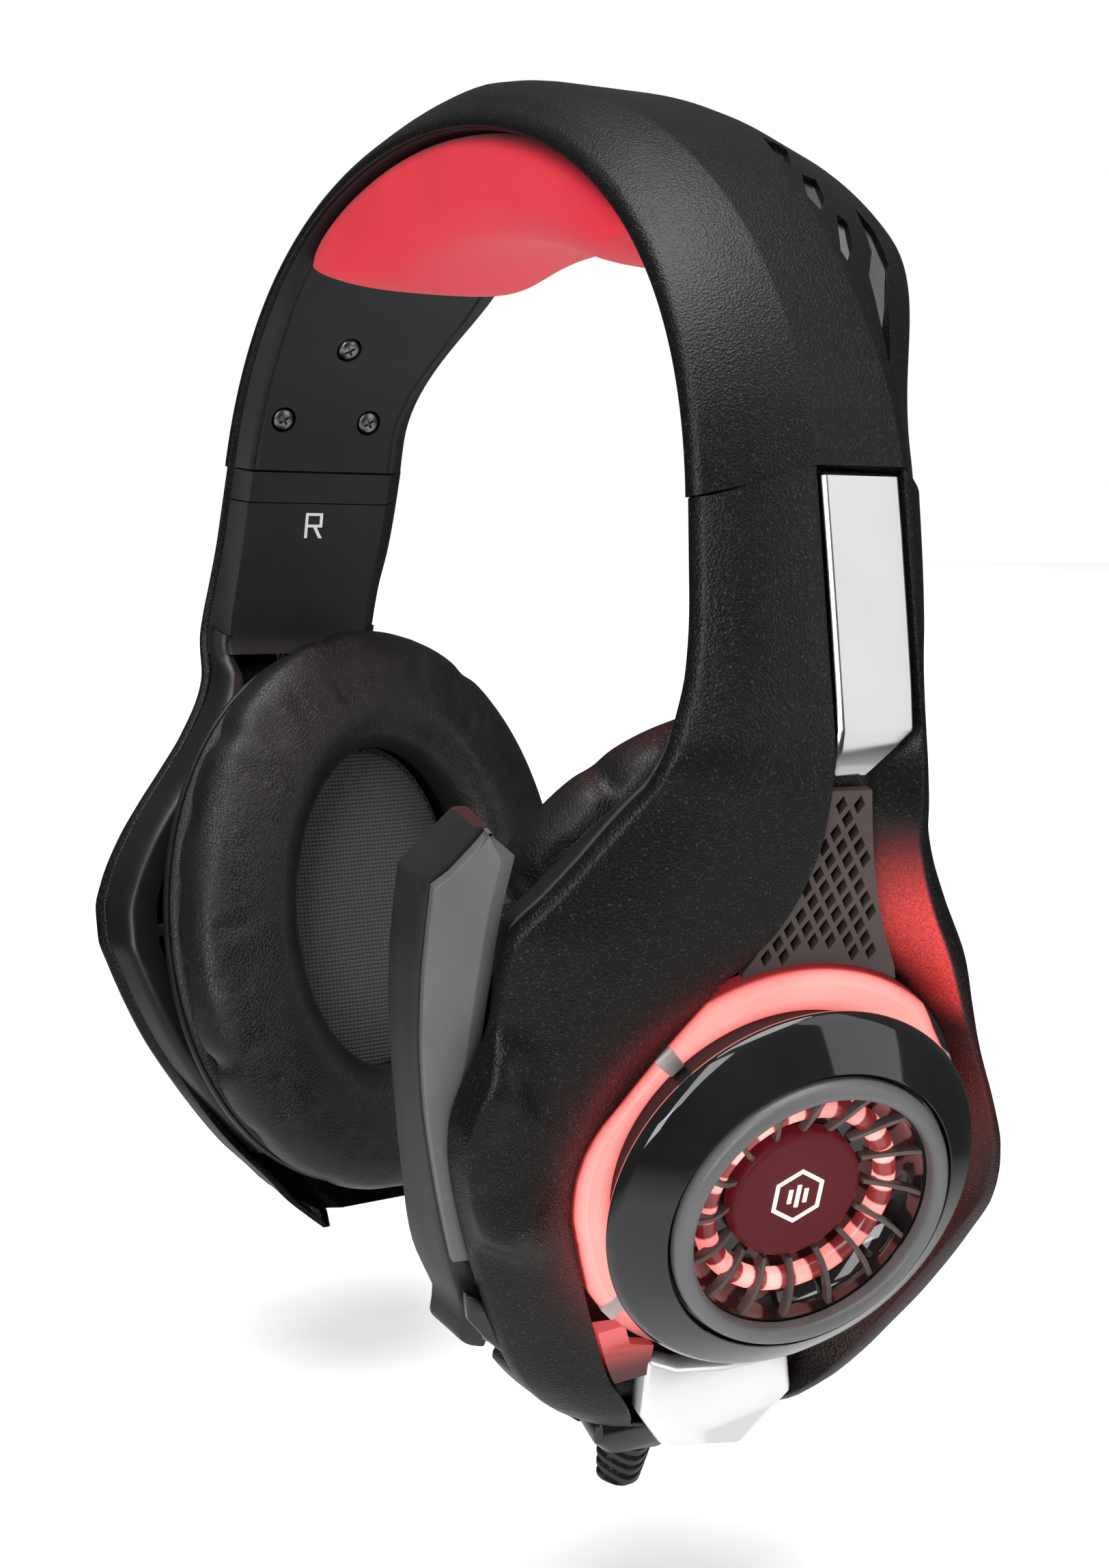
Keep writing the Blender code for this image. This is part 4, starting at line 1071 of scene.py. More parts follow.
def build_chrome():
    stations = []
    for s, left, right, level in (
            (42.6, -1.9, 11.5, 3.7), (42.1, -2.1, 11.7, 4.25), (34.0, -2.2, 11.6, 4.4),
            (22.0, -2.3, 11.4, 4.45), (12.0, -2.4, 11.2, 4.45), (6.5, -2.5, 10.9, 4.45),
            (5.9, -2.5, 10.8, 4.35), (4.0, -2.55, 8.3, 3.85), (2.0, -2.6, 5.6, 3.2),
            (0.9, -2.6, 4.3, 2.8), (0.5, -2.5, 4.0, 2.5)):
        stations.append((s, [(left, 1.4), (right, 1.4), (right, level - 0.6),
                             (right - 0.7, level), (left + 0.7, level), (left, level - 0.6)]))
    pair(strap("chrome_trim", stations, chrome, 0.2, 18.0), "arm", "chrome", "chrome_strip")


def build_arm_lining():
    """The lining of the upper arm, with a seam across it just below the band."""
    seam, half_gap = 33.2, 0.15

    def station(s):
        lip = LIP_LEVEL(s) + 0.3
        wall = WALL_LEVEL(s)
        face = wall if s > seam else wall + 0.3
        front, back = max(FRONT(s), FRONT_RIGHT(s)), BACK_EDGE(s)
        return s, [(front + 0.9, lip), (front + 4.2, face), (back - 4.0, face),
                   (back - 0.8, lip), (back - 3.0, wall + 2.6), (front + 3.2, wall + 2.6)]

    collar = [station(s) for s in spread(ARM_LENGTH - half_gap, seam + half_gap, 6)]
    cover = [station(s) for s in spread(seam - half_gap, 0.4, 26)]
    pair(strap("arm_collar", collar, lining_black, 0.3), "arm", "black_smooth")
    pair(strap("arm_lining", cover, lining_black, 0.3), "arm", "black_smooth",
         "arm_inner_cover")
    for side, word in SIDES:
        bars = [letter_bar(side, stroke) for stroke in LETTERS[word]]
        mount(join("side_letter_" + word, bars), "arm_" + word, "grey_satin")


def build_slider_strip():
    middle, low, high = -1.8, -3.1, -2.3
    stations = [(s, [(middle - w, low), (middle + w, low), (middle + w, high),
                     (middle - w, high)])
                for s, w in ((ARM_LENGTH + 23.0, 3.0), (ARM_LENGTH + 19.0, 5.2),
                             (ARM_LENGTH + 17.0, 5.5), (14.0, 5.5))]
    pair(strap("slider_band", stations, steel, 0.15), "arm", "steel", "slider_strip")


# Strokes of the side letters as the four corners of each bar, read from inside the headset,
# and the middle of the letter on the arm.
LETTER_PLACE = (28.6, -2.0)
LETTERS = {"right": (
    ((-1.9, -2.6), (-1.3, -2.6), (-1.3, 2.6), (-1.9, 2.6)),
    ((-1.9, 2.05), (1.5, 2.05), (1.9, 2.6), (-1.9, 2.6)),
    ((1.3, 0.1), (1.9, -0.3), (1.9, 2.6), (1.3, 2.3)),
    ((-1.5, -0.35), (1.9, -0.35), (1.5, 0.2), (-1.5, 0.2)),
    ((1.25, -2.6), (2.05, -2.6), (0.6, -0.2), (-0.15, -0.2)),
), "left": (
    ((-1.9, -2.6), (-1.3, -2.6), (-1.3, 2.6), (-1.9, 2.6)),
    ((-1.9, -2.6), (1.9, -2.6), (1.9, -2.05), (-1.9, -2.05)),
)}


def letter_bar(side, corners):
    """One thin painted bar on the arm's lining, seen from the wearer's head."""
    rings = []
    for lift in (-0.02, 0.10):
        ring = []
        for x, z in corners:
            s = LETTER_PLACE[0] + z
            point = arm_at(s, LETTER_PLACE[1] - side * x, WALL_LEVEL(s) + 0.3 - lift)
            ring.append(Vector((side * point.x, point.y, point.z)))
        rings.append(ring)
    return skin("letter_bar", rings, letter_paint, angle=0)


# Hub and light

CUP_PLACE = Matrix.Translation(HUB * MM) @ Matrix((BACK, UP, OUT)).transposed().to_4x4()
HUB_LIFT = 1.7
HUB_PLACE = CUP_PLACE @ Matrix.Translation((0.0, 0.0, HUB_LIFT * MM))
# Directions of the tabs that divide the lit ring, in degrees.
DIVIDERS = (30.4, 136.5, 224.0, 314.4)


def opening(turn, margin):
    """Distance from the hub's centre to the side of the arm's channel, in one direction."""
    direction = Vector((cos(turn), sin(turn)))
    radius, edge, wing_end, step = 20.0, 33.3, -113.0, 0.1
    while radius < edge:
        a, s = direction.x * radius, direction.y * radius - KNEE_RISE
        if s < wing_end or not CHANNEL_FRONT(s) + margin < a < FLOOR_BACK(s) + 0.9 - margin:
            break
        radius += step
    return radius


def light_segment(first, last, dim):
    """One lit piece of the ring around the hub, from one divider to the next."""
    rings = []
    glows = []
    for turn in spread(radians(first), radians(last), max(6, int(abs(last - first) / 2.0))):
        near, far = 26.4, opening(turn, 0.55)
        crease = far - 0.34 * (far - near)
        fade = dim(degrees(turn))
        rows = ((near, -15.2, 0.3), (near, -12.8, 0.45), (near + 0.9, -12.4, 0.75),
                (near + 2.2, -12.1, 1.0), (crease - 0.2, -11.9, 1.0), (crease, -11.8, 0.9),
                (far - 0.7, -12.1, 0.62), (far - 0.15, -12.5, 0.3), (far, -12.9, 0.1),
                (far, -15.2, 0.1))
        rings.append([cup(r * cos(turn), r * sin(turn), d) for r, d, _ in rows])
        glows += [g * fade for _, _, g in rows]
    piece = skin("light_segment", rings, light_red, angle=25.0)
    paint(piece.data, "glow", glows)
    return piece


def join_keeping(name, pieces, attribute):
    """Join meshes and keep one point attribute of theirs."""
    values = []
    for piece in pieces:
        layer = piece.data.attributes[attribute]
        part = np.zeros(len(piece.data.vertices), np.float32)
        layer.data.foreach_get("value", part)
        values.append(part)
    whole = join(name, pieces)
    if attribute not in whole.data.attributes:
        whole.data.attributes.new(attribute, "FLOAT", "POINT")
    whole.data.attributes[attribute].data.foreach_set("value", np.concatenate(values))
    return whole


def build_light_ring():
    gap = 2.6

    def even(_):
        return 1.0

    def fade_left(turn):
        return 0.55 - 0.5 * ease(228.0, 246.0, turn)

    def fade_right(turn):
        return 0.8 - 0.75 * ease(306.0, 294.0, turn)

    right, upper, left, lower = DIVIDERS
    pieces = [light_segment(right + gap, upper - gap, even),
              light_segment(upper + gap, left - gap, even),
              light_segment(lower - 360.0 + gap, right - gap, even),
              light_segment(left + gap, 249.0, fade_left),
              light_segment(291.0, lower - gap, fade_right)]
    pair(join_keeping("light_ring", pieces, "glow"), "arm", "light_diffuser", "light_guide")
    tray = lathe("light_tray", soft_profile([
        (26.3, -9.0), (26.3, -15.3), (33.4, -15.3), (33.4, -16.3), (25.4, -16.3), (25.4, -9.0)],
        0.2, 2), CUP_PLACE, smooth_black, 120)
    pair(tray, "arm", "black_smooth")


def build_dividers():
    tabs = []
    for angle in DIVIDERS:
        turn = radians(angle)
        far = opening(turn, 0.3)
        ahead = Vector((cos(turn), sin(turn)))
        side = Vector((-ahead.y, ahead.x))
        outline = [tuple(ahead * r + side * w)
                   for r, w in ((26.8, -1.3), (far, -1.6), (far, 1.6), (26.8, 1.3))]
        tabs.append(slab("tab", [outline], CUP_PLACE, -15.2, -11.6, divider_grey, 0.3, 2))
    pair(join("light_dividers", tabs), "arm", "grey_satin")


def build_red_reflection_glow():
    """A dim red glowing block in the corner between the hub and the chin plate: a painted red reflection of the
    light.
    """
    rings = []
    glows = []
    low, high, base = -13.6, -12.6, -15.4
    for b in spread(-27.0, -37.0, 12):
        side = CHANNEL_FRONT(b - KNEE_RISE) + 0.55
        inner = min(-13.6, side + 9.0) if b < -31.0 else side + 5.0
        near = sqrt(max(0.0, 29.0 ** 2 - b * b))
        inner = min(inner, -near) if near > 0 else inner
        inner = max(inner, side + 0.4)
        sink = SINK(b - KNEE_RISE)
        rings.append([cup(side, b, high + sink), cup(inner, b, low + sink),
                      cup(inner, b, base + sink), cup(side, b, base + sink)])
        # Painted reflection: this glow stands in for red light reflected in the corner.
        glows += [0.30 * ease(-36.0, -27.0, b)] * 4
    glow_block = skin("red_reflection_glow", rings, light_red, angle=25.0)
    paint(glow_block.data, "glow", glows)
    pair(glow_block, "arm", "light_diffuser")


def build_hub():
    cone = lathe("hub_cover", soft_profile([
        (23.2, -1.15), (29.5, -5.7), (30.4, -7.0), (29.6, -8.4), (26.9, -8.4),
        (26.9, -7.4), (20.0, -4.0), (20.0, -2.6), (23.1, -2.6)], 0.45, 3),
        HUB_PLACE, gloss_black, 144)
    pair(cone, "arm", "black_gloss", "hub_cone")
    ring = lathe("hub_bezel", soft_profile([
        (20.0, 0.15), (20.9, 0.35), (21.9, 0.0), (22.5, -1.0), (22.5, -2.4), (19.5, -2.4),
        (19.5, -0.5)], 0.4, 3), HUB_PLACE, grey_satin, 144)
    pair(ring, "arm", "grey_satin", "hub_ring")
    bowl = lathe("hub_bowl", [
        (0.0, -8.95), (11.5, -8.95), (13.5, -8.8), (15.4, -8.3), (17.0, -7.3), (18.4, -5.8),
        (19.3, -4.0), (19.33, -2.6), (19.75, -2.6), (19.75, -8.0), (16.8, -10.4), (0.0, -10.4)],
        HUB_PLACE, gloss_black, 144, closed=False)
    pair(bowl, "arm", "black_gloss", "turbine_bowl")
    disc = lathe("hub_disc", soft_profile([
        (0.0, -6.0), (9.9, -6.0), (10.5, -6.3), (10.8, -6.9), (10.8, -8.8), (0.0, -8.8)],
        0.25, 3), HUB_PLACE, badge_red, 120, closed=False)
    pair(disc, "arm", "badge", "badge_disc")


def build_emblem():
    """A plain open hexagon around three bars, a mark with no meaning."""
    outlines = [[[(r * cos(tau * i / 6 + pi / 6), r * sin(tau * i / 6 + pi / 6))
                  for i in range(6)] for r in (4.6, 3.9)]]
    for shift in (-1.3, 0.0, 1.3):
        outlines.append([box_outline(shift, 0.32, 1.9 - 0.55 * abs(shift))])
    strokes = [slab("stroke", outline, HUB_PLACE, -6.02, -5.86, mark_light)
               for outline in outlines]
    pair(join("hub_emblem", strokes), "arm", "light_diffuser")


def build_tube():
    """Glowing ring behind the vanes, brighter and darker in turn as its lamps repeat."""
    rings = []
    glows = []
    steps, around = 216, 12
    middle, level, thick = 14.9, -6.7, 1.75
    for i in range(steps):
        turn = tau * i / steps
        ring = []
        for k in range(around):
            angle = tau * k / around
            r, z = middle + thick * cos(angle), level + thick * sin(angle)
            ring.append(cup(r * cos(turn), r * sin(turn), z + HUB_LIFT))
        rings.append(ring)
        lamp = 1.0 if i % 12 < 6 else 0.12
        glows += [lamp * (0.75 + 0.25 * sin(3.0 * turn + 0.6))] * around
    tube = skin("hub_light", rings, tube_red, loop=True, angle=0)
    paint(tube.data, "glow", glows)
    pair(tube, "arm", "light_diffuser", "light_tube")


def build_vanes():
    """Bent blades between the disc and the bezel."""
    blades = []
    total, lean, half_thick = 16, 0.06, 0.42
    for i in range(total):
        turn = tau * (i + 0.25) / total
        rings = []
        for r, slip, high, low in (
                (11.2, 0.0, -6.1, -7.6), (13.2, 0.1, -4.9, -6.6), (15.2, 0.4, -4.0, -5.8),
                (17.4, 0.9, -3.3, -5.0), (19.6, 1.6, -2.7, -4.4)):
            ring = []
            for side, z in ((-1, low), (1, low), (1, high), (-1, high)):
                angle = turn - lean * slip + side * half_thick / r
                ring.append(cup(r * cos(angle), r * sin(angle), z + HUB_LIFT))
            rings.append(fillet(ring, [0.15] * 4, 2))
        blades.append(skin("blade", rings, vane_grey, angle=30.0))
    pair(join("hub_vanes", blades), "arm", "grey_satin", "turbine_vanes")


def build_chin():
    outline = [(-14.6, -33.6), (-8.4, -36.3), (0.0, -37.2), (6.5, -36.6), (10.8, -35.6),
               (13.4, -44.6), (6.0, -53.6), (-8.8, -51.6), (-13.8, -44.8)]
    plate = slab("chin_trim", [outline], CUP_PLACE, -17.4, -13.3, silver, 1.1, 3)
    pair(plate, "arm", "chrome", "chin_plate")


def build_grille():
    """Diamond-pierced plate between the chrome trim and the lit ring."""
    left = pchip([29.5, 36.7, 42.9, 55.0, 61.4], [-13.2, -9.0, -5.9, -3.2, -2.6])
    right = pchip([31.2, 42.1, 52.2, 61.4], [15.0, 9.6, 6.2, 3.9])
    radius, wide, high, row_step, column_step = 33.9, 0.95, 1.5, 2.15, 2.9
    outline = [(left(b), b) for b in spread(61.2, 33.0, 10)]
    outline += [(x, sqrt(radius ** 2 - x * x)) for x in spread(left(33.0) + 0.2, 15.0, 12)]
    outline += [(right(b), b) for b in spread(32.4, 61.2, 10)]
    holes = []
    for row in range(12):
        b = 59.0 - row_step * row
        shift = 0.0 if row % 2 else 0.5 * column_step
        for column in range(-7, 8):
            a = 0.9 + shift + column_step * column
            if left(b) + 1.5 < a < right(b) - 1.4 and hypot(a, b) > radius + 1.7:
                holes.append([(a - wide, b), (a, b - high), (a + wide, b), (a, b + high)])
    plate = slab("grille_plate", [outline] + holes, CUP_PLACE, RIM + 1.35, RIM + 2.9,
                 grille_plastic)
    pair(plate, "arm", "grille", "vent_grille")


# Ear cups

def pad_point(x, y, depth):
    """A point of the ear cup: x and y in the oval's own leaning frame."""
    a = PAD_A + x * cos(PAD_LEAN) + y * sin(PAD_LEAN)
    b = PAD_B - x * sin(PAD_LEAN) + y * cos(PAD_LEAN)
    return cup(a, b, depth)


def oval_ring(ra, rb, depth):
    turns = [tau * i / 96 for i in range(96)]
    return [pad_point(ra * cos(turn), rb * sin(turn), depth) for turn in turns]


def build_cup_shell():
    rows = ((20.0, 30.0, -21.95), (26.0, 36.4, -21.95), (27.2, 37.6, -22.3),
            (31.0, 42.2, -23.9), (31.5, 42.7, -24.5), (32.0, 43.2, -30.2), (32.6, 43.9, -30.7),
            (39.8, 53.2, -30.7), (40.8, 54.2, -31.0), (41.2, 54.6, -31.5), (41.2, 54.6, -32.5),
            (40.9, 54.3, -32.9), (31.2, 42.4, -32.9), (30.2, 41.4, -25.6), (28.2, 39.6, -24.4))
    rings = [oval_ring(*row) for row in rows]
    pair(skin("cup_shell", rings, smooth_black, angle=30.0), "cup", "black_smooth",
         "cup_housing")
    rows = ((30.0, 43.0, -33.0), (39.6, 53.0, -33.0), (40.6, 54.0, -33.3), (40.9, 54.3, -34.0),
            (40.2, 53.6, -34.9), (38.6, 52.0, -35.3), (30.0, 43.0, -35.3))
    rings = [oval_ring(*row) for row in rows]
    pair(skin("pad_skirt", rings, pad_leather, angle=50.0, loop=True), "cup", "leatherette")


def cushion_skin(around, section):
    """Plain stuffed ring, and the points that its seam holds."""
    middle_a, middle_b = 31.2, 43.6
    half_a, half_b = 10.7, 11.8
    centre, rise = -43.0, 8.6
    rings = []
    pinned = []
    for i in range(around):
        turn = tau * i / around
        ring = []
        for k in range(section):
            angle = tau * k / section
            c, s = cos(angle), sin(angle)
            wide, deep = bulge(c, 0.86), bulge(s, 0.80)
            lean_in = -0.6 * (1.0 - deep)
            ra = middle_a + half_a * wide + lean_in
            rb = middle_b + half_b * wide + lean_in
            ring.append(pad_point(ra * cos(turn), rb * sin(turn), centre + rise * deep))
            if s > 0.75:
                pinned.append(i * section + k)
        rings.append(ring)
    return skin("ear_pad", rings, pad_leather, loop=True, angle=0), pinned


def gather(pad, around, section, phase):
    """Small folds at the pad's outer seam. A few run on over its side."""
    rng = np.random.default_rng(7 if phase else 3)
    folds, fold_width, shade_width = 19, 0.045, 0.10
    seam_angle, side_angle = radians(48.0), radians(5.0)
    jitter = rng.uniform(-0.28, 0.28, folds)
    strength = rng.uniform(0.45, 1.0, folds)
    long_fold = rng.uniform(0.0, 1.0, folds) > 0.72
    middle = HUB + BACK * PAD_A + UP * PAD_B
    for i in range(around):
        crease = deep_crease = 0.0
        for f in range(folds):
            spot = tau * (f + 0.5 * phase + jitter[f]) / folds
            away = wrapped(tau * i / around - spot)
            narrow = exp(-(away / fold_width) ** 2)
            crease += strength[f] * (narrow + 0.45 * exp(-(away / shade_width) ** 2))
            if long_fold[f]:
                deep_crease += strength[f] * narrow
        for k in range(section):
            angle = tau * k / section
            seam = exp(-(wrapped(angle - seam_angle) / 0.62) ** 2)
            side = exp(-(wrapped(angle - side_angle) / 0.75) ** 2)
            amount = 2.4 * crease * seam + 1.3 * deep_crease * side
            vertex = pad.data.vertices[i * section + k]
            place = vertex.co / MM
            inward = (middle + OUT * (place - middle).dot(OUT)) - place
            vertex.co = (place + inward.normalized() * amount) * MM


def wrapped(angle):
    """The same angle between minus and plus half a turn."""
    return (angle + pi) % tau - pi


def build_cushion(word, phase):
    """Stuffed ring of artificial leather, gathered at its outer seam."""
    around, section = 228, 30
    pad, pinned = cushion_skin(around, section)
    simulate(pad, 4.0, 1.8, pinned, slack=0.03)
    gather(pad, around, section, phase)
    subdivide(pad)
    if word == "right":
        pad = moved_right(pad, "ear_pad_right")
    else:
        pad.name = "ear_pad_left"
    mount(pad, "cup_" + word, "leatherette", "ear_cushion_" + word)


def build_ear_cloth():
    """Cloth over the loudspeaker, sagging a little between its seams."""
    wide, high = 21.4, 33.2
    rings = []
    for share in spread(0.02, 1.0, 14):
        sag = -37.9 + 0.9 * share ** 2 + 0.25 * sin(9.0 * share)
        rings.append(oval_ring(wide * share, high * share, sag))
    back = [[p + OUT for p in ring] for ring in reversed(rings)]
    pair(skin("ear_cloth", rings + back, ear_cloth, angle=0), "cup", "ear_fabric", "ear_mesh")
    stitches = []
    total, wide, high, level, long = 70, 20.3, 31.6, -38.1, 0.052
    for i in range(total):
        turn = tau * i / total
        first, last = [pad_point(wide * cos(t), high * sin(t), level)
                       for t in (turn, turn + long)]
        stitches.append(rod("stitch", first, last, 0.22, pad_leather))
    pair(join("ear_stitches", stitches), "cup", "leatherette")


def rod(name, first, last, radius, look):
    """A short round-ended thread between two points."""
    along = (last - first).normalized()
    side = along.orthogonal().normalized()
    other = along.cross(side)
    rings = []
    for share, size in ((0.0, 0.3), (0.12, 1.0), (0.88, 1.0), (1.0, 0.3)):
        centre = first.lerp(last, share)
        rings.append([centre + (side * cos(tau * k / 6) + other * sin(tau * k / 6))
                      * radius * size for k in range(6)])
    return skin(name, rings, look, angle=0)


# Microphone boom

BOOM_TIP = 54.0
BOOM_BACK = ((50.0, -45.8), (40.0, -46.6), (30.0, -46.7), (20.0, -46.7), (12.0, -47.0),
             (1.5, -46.0), (-6.0, -44.6), (-12.0, -42.8), (-18.0, -40.6), (-24.0, -38.2))
BOOM_FRONT = ((46.0, -58.2), (35.0, -57.9), (24.0, -57.0), (12.0, -55.0), (1.5, -52.4),
              (-12.0, -48.4), (-18.0, -46.3), (-26.0, -43.2))
BOOM_FLARE = ((46.5, -60.3), (35.0, -60.0), (24.0, -58.9), (7.8, -56.0), (-4.0, -53.5),
              (-16.0, -50.5), (-26.0, -45.6))


def boom_side(table):
    return pchip([b for b, _ in reversed(table)], [a for _, a in reversed(table)])


def build_boom():
    """The arm of the microphone, from its round lower end at the pivot to its tip."""
    back, front, flare = boom_side(BOOM_BACK), boom_side(BOOM_FRONT), boom_side(BOOM_FLARE)
    pivot = PIVOT_MIC - HUB
    px, py = pivot.dot(BACK), pivot.dot(UP)
    rings = []
    tail = [py - 3.2 * sin(radians(turn)) for turn in (15, 30, 45, 60, 75, 87)]
    for b in [BOOM_TIP, 53.2, 52.0, 50.5, 49.0, 47.5] + spread(46.0, py, 36) + tail:
        closing = sqrt(max(0.0, 1.0 - (max(0.0, py - b) / 3.25) ** 2))
        opening_up = min(1.0, 0.12 + 0.88 * (BOOM_TIP - b) / 8.0)
        sides = []
        for side, middle in ((front(b), -51.6), (flare(b), -52.4), (back(b), -51.2)):
            if b > 46.0:
                side = middle + (side - middle) * opening_up
            if b < py:
                side = px + (side - px) * closing
            sides.append(side)
        ahead, low, behind = sides
        ring = [cup(ahead, b, -20.95), cup(0.65 * ahead + 0.35 * low, b, -23.6),
                cup(low, b, -27.9), cup(behind - 0.2, b, -27.9), cup(behind, b, -20.95)]
        rings.append(fillet(ring, [0.5, 1.5, 0.7, 0.6, 0.5], 2))
    body = skin("mic_arm", rings, boom_black, angle=34.0)
    mount(body, "mic_boom", "black_smooth", "boom_inner_shell")
    hole = lathe("mic_grille", soft_profile([
        (0.0, -28.0), (2.2, -28.0), (2.2, -28.4), (2.8, -28.4), (2.8, -27.4), (0.0, -27.4)],
        0.1, 2), CUP_PLACE @ Matrix.Translation(Vector((-51.6, 44.0, 0.0)) * MM), screw_black,
        32, closed=False)
    mount(hole, "mic_boom", "steel")
    build_boom_face(back, front)


def build_boom_face(back, front):
    """Grey plate on the outside of the arm, and the gloss cap over its hinge."""
    rings = []
    low, high = -20.65, -18.9
    steps = [BOOM_TIP, 51.6, 49.8, 48.0, 46.0] + spread(43.0, -12.5, 26) + [-14.2, -15.4]
    for b in steps:
        behind = -51.0 + (BOOM_TIP - b) / 4.0 * 5.0 if b > 50.0 else back(b)
        ahead = -51.0 - (BOOM_TIP - b) / 8.0 * 6.4 if b > 46.0 else front(b)
        ahead, behind = ahead + 0.35, behind - 0.3
        narrow = ease(54.2, 50.5, b)
        slope = min(2.6, 0.42 * (behind - ahead)) * narrow
        ring = [cup(ahead, b, low), cup(ahead, b, high - 0.3), cup(ahead + 0.25, b, high),
                cup(behind - slope, b, high), cup(behind, b, high - 1.15 * narrow - 0.2),
                cup(behind, b, low)]
        rings.append(fillet(ring, [0.12] * 6, 2))
    face = skin("mic_face", rings, grey_satin, angle=22.0)
    mount(face, "mic_boom", "grey_satin", "boom_outer_plate")

    wedge = [(-44.6, -20.6), (-42.4, -21.8), (-36.6, -28.0), (-34.6, -31.0), (-34.0, -33.2),
             (-35.8, -33.6), (-40.0, -29.8), (-43.6, -25.4)]
    cap = slab("mic_hinge", [wedge], CUP_PLACE, -19.6, -17.9, gloss_black, 0.5, 3)
    mount(cap, "arm_left", "black_gloss", "mic_hinge_cap")


# Cable exit

def build_cable_exit():
    """The gloss block under the left wing and its ribbed rubber boot."""
    block = [(-18.0, -49.4), (-3.6, -50.6), (-3.6, -54.4), (-5.4, -55.8), (-15.2, -55.8),
             (-18.0, -53.6)]
    housing = slab("cable_exit", [block], CUP_PLACE, -27.8, -18.0, gloss_black, 1.5, 4)
    mount(housing, "arm_left", "black_gloss", "cable_housing")
    rings = []
    steps, around, long, pitch = 64, 56, 8.9, 2.15
    middle, top, depth = -9.8, -55.9, -23.0
    for j in range(steps):
        z = long * j / (steps - 1)
        inside = ease(0.8, 1.4, z) * ease(long, 8.2, z)
        ring = []
        for i in range(around):
            turn = tau * i / around
            peak = abs(((turn / (tau / 4)) % 2.0) - 1.0)
            rib = 0.5 + 0.5 * cos(tau * ((z + 1.5 * peak - 0.8) / pitch))
            cut = 1.0 - ease(0.25, 0.55, rib)
            radius = 4.75 - 0.14 * z - 0.75 * inside * cut - 0.9 * ease(8.2, long, z)
            squash = 1.0 + 0.05 * cos(4.0 * turn)
            ring.append(cup(middle + radius * squash * cos(turn), top - z,
                            depth + radius * squash * sin(turn)))
        rings.append(ring)
    boot = skin("cable_boot", rings, rubber, angle=40.0)
    mount(boot, "arm_left", "rubber", "strain_relief")


def dress_cad_nodes():
    """Give the CAD pieces that stay visible the same quality of material."""
    looks = {"slider_guide": smooth_black, "speaker_baffle": smooth_black,
             "speaker_driver": steel, "led_board": circuit, "tilt_axle": smooth_black,
             "mic_capsule": steel, "mic_pivot_pin": steel}
    for name, obj in frame["nodes"].items():
        for start, look in looks.items():
            if name.startswith(start):
                obj.data.materials.clear()
                obj.data.materials.append(look)


# Studio

def look_at(obj, place, target, roll=0.0):
    away = (place - target).normalized()
    right = Vector((0.0, 0.0, 1.0)).cross(away).normalized()
    up = away.cross(right)
    turn = Matrix((right * cos(roll) + up * sin(roll), up * cos(roll) - right * sin(roll),
                   away)).transposed()
    obj.matrix_world = Matrix.Translation(place) @ turn.to_4x4()


def area_light(name, ahead, width, height, power):
    """A soft rectangle of light, placed as seen from the middle of the headset."""
    data = bpy.data.lights.new(name, "AREA")
    data.shape = "RECTANGLE"
    data.size = width
    data.size_y = height
    data.energy = power
    centre = Vector((0.0, 0.0, -0.09))
    look_at(add(name, data), centre + Vector(ahead), centre)


def build_camera():
    target = Vector((14.8, 0.0, 97.7)) + REST
    azimuth, height, distance = radians(59.7), radians(8.4), 390.0
    ahead = Vector((sin(azimuth) * cos(height), -cos(azimuth) * cos(height), sin(height)))
    data = bpy.data.cameras.new("camera")
    sensor, focal_pixels, image_pixels = 36.0, 3332.0, 1624.0
    data.sensor_fit = "HORIZONTAL"
    data.sensor_width = sensor
    data.lens = sensor * focal_pixels / image_pixels
    data.clip_start = 0.01
    camera = add("camera", data)
    look_at(camera, (target + ahead * distance) * MM, target * MM, radians(2.05))
    bpy.context.scene.camera = camera


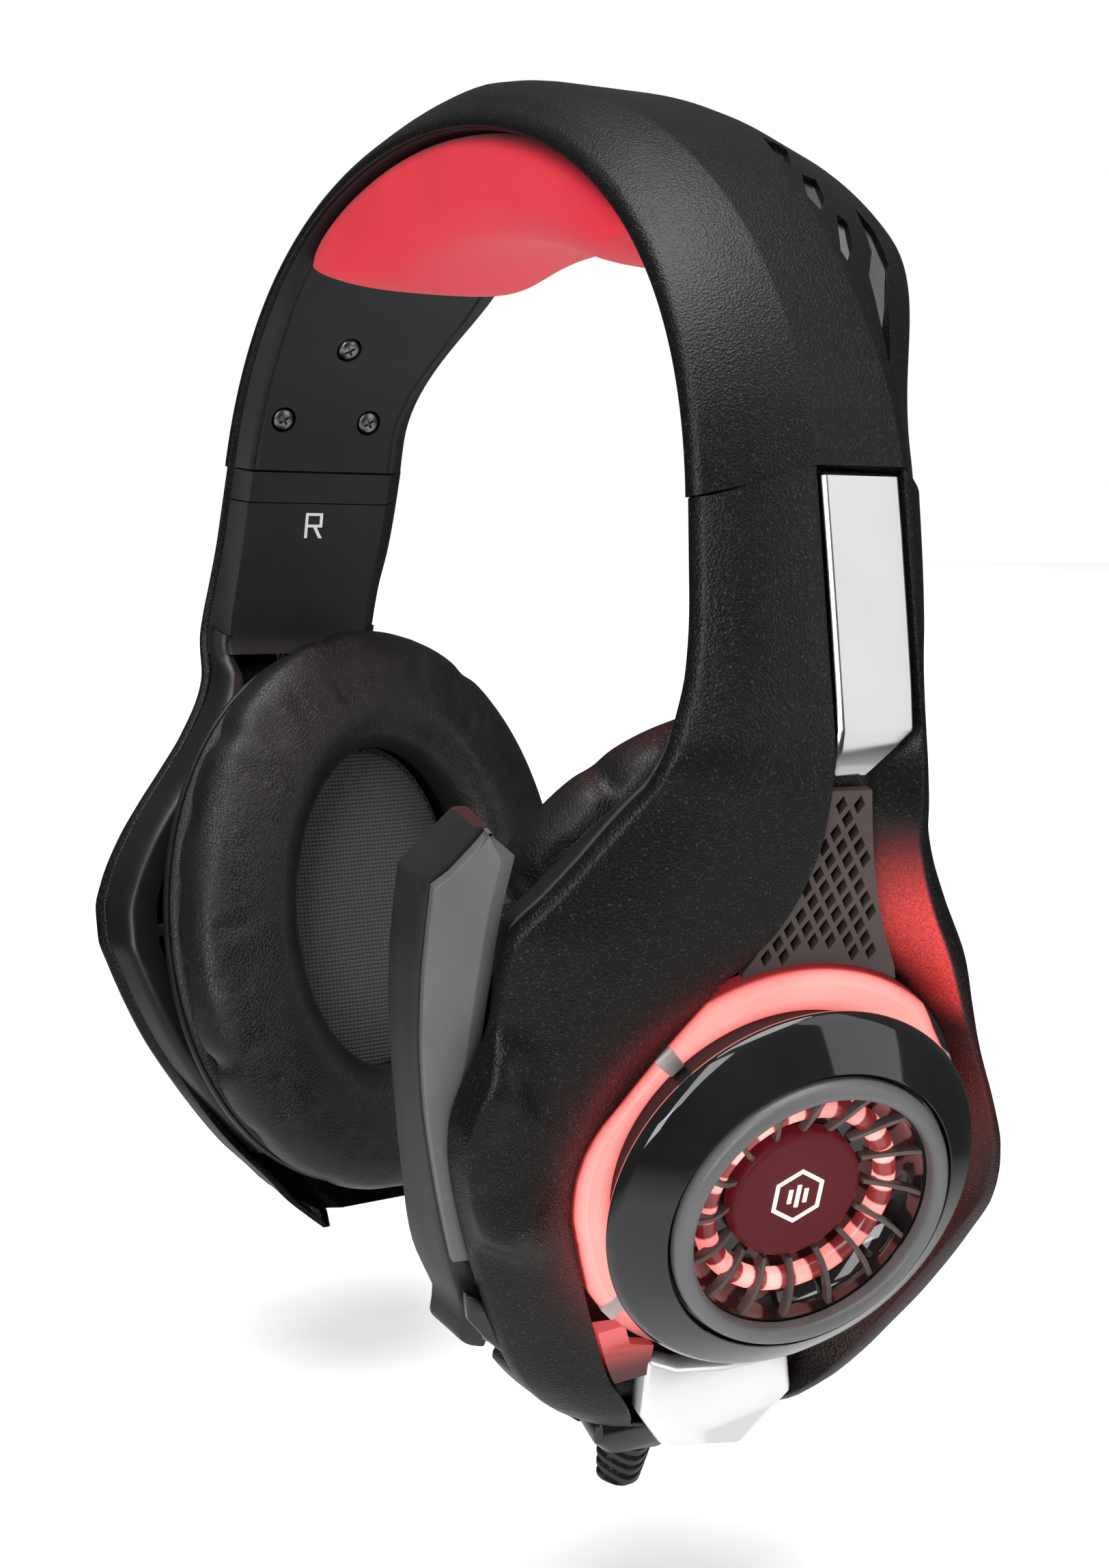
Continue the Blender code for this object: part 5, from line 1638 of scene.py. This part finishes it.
def build_floor():
    """Pale floor, low enough for the arms to slide down without meeting it."""
    look, tree, body = shader("studio_floor", (0.92, 0.92, 0.92), 0.9, Specular_IOR_Level=0.0,
                              Emission_Color=(1.0, 1.0, 1.0, 1.0), Emission_Strength=0.46)
    varied(tree, body, (0.91, 0.91, 0.91), (0.93, 0.93, 0.93), 0.9, 0.02, 2.0)
    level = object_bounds()[0][2] / MM - 20.0
    half, thick = 3000.0, 20.0
    rings = [[Vector((x, -half, level)), Vector((x, half, level)),
              Vector((x, half, level - thick)), Vector((x, -half, level - thick))]
             for x in (-half, half)]
    floor = skin("studio_floor", rings, look, angle=0)
    floor.visible_glossy = False


def build_lights():
    """White backdrop to the camera, a dim room to the headset, and soft lamps."""
    world = bpy.data.worlds.new("studio")
    bpy.context.scene.world = world
    world.use_nodes = True
    tree = world.node_tree
    ahead = node(tree, "ShaderNodeTexCoord").outputs["Generated"]
    up = node(tree, "ShaderNodeSeparateXYZ", Vector=ahead).outputs["Z"]
    room = sums(tree, remap(tree, up, -0.2, 1.0, 0.05, 0.20),
                remap(tree, up, -0.35, -0.60, 0.0, 0.75))
    seen = node(tree, "ShaderNodeMix", data_type="FLOAT",
                Factor=node(tree, "ShaderNodeLightPath").outputs["Is Camera Ray"],
                A=room, B=1.0)
    wire(tree, tree.nodes["Background"], Strength=seen.outputs[0],
         Color=(1.0, 1.0, 1.0, 1.0))
    area_light("key", (0.68, -0.66, 0.40), 0.32, 0.80, 3.4)
    area_light("side", (0.74, 0.50, 0.32), 0.50, 1.50, 2.6)
    area_light("low", (0.62, -0.80, -0.03), 0.34, 0.24, 1.6)
    data = bpy.data.lights.new("above", "SUN")
    data.energy = 2.9
    data.angle = radians(50.0)
    look_at(add("above", data), Vector((0.12, -0.10, 1.0)), Vector((0.0, 0.0, 0.0)))


build_band()
build_lining()
build_crown_cushion()
build_shells()
build_inner_housing()
build_chrome()
build_arm_lining()
build_slider_strip()
build_light_ring()
build_dividers()
build_red_reflection_glow()
build_hub()
build_emblem()
build_tube()
build_vanes()
build_chin()
build_grille()
build_cup_shell()
build_cushion("left", 0)
build_cushion("right", 1)
build_ear_cloth()
build_boom()
build_cable_exit()
dress_cad_nodes()
bpy.context.scene.view_settings.view_transform = "Standard"
build_camera()
build_floor()
build_lights()
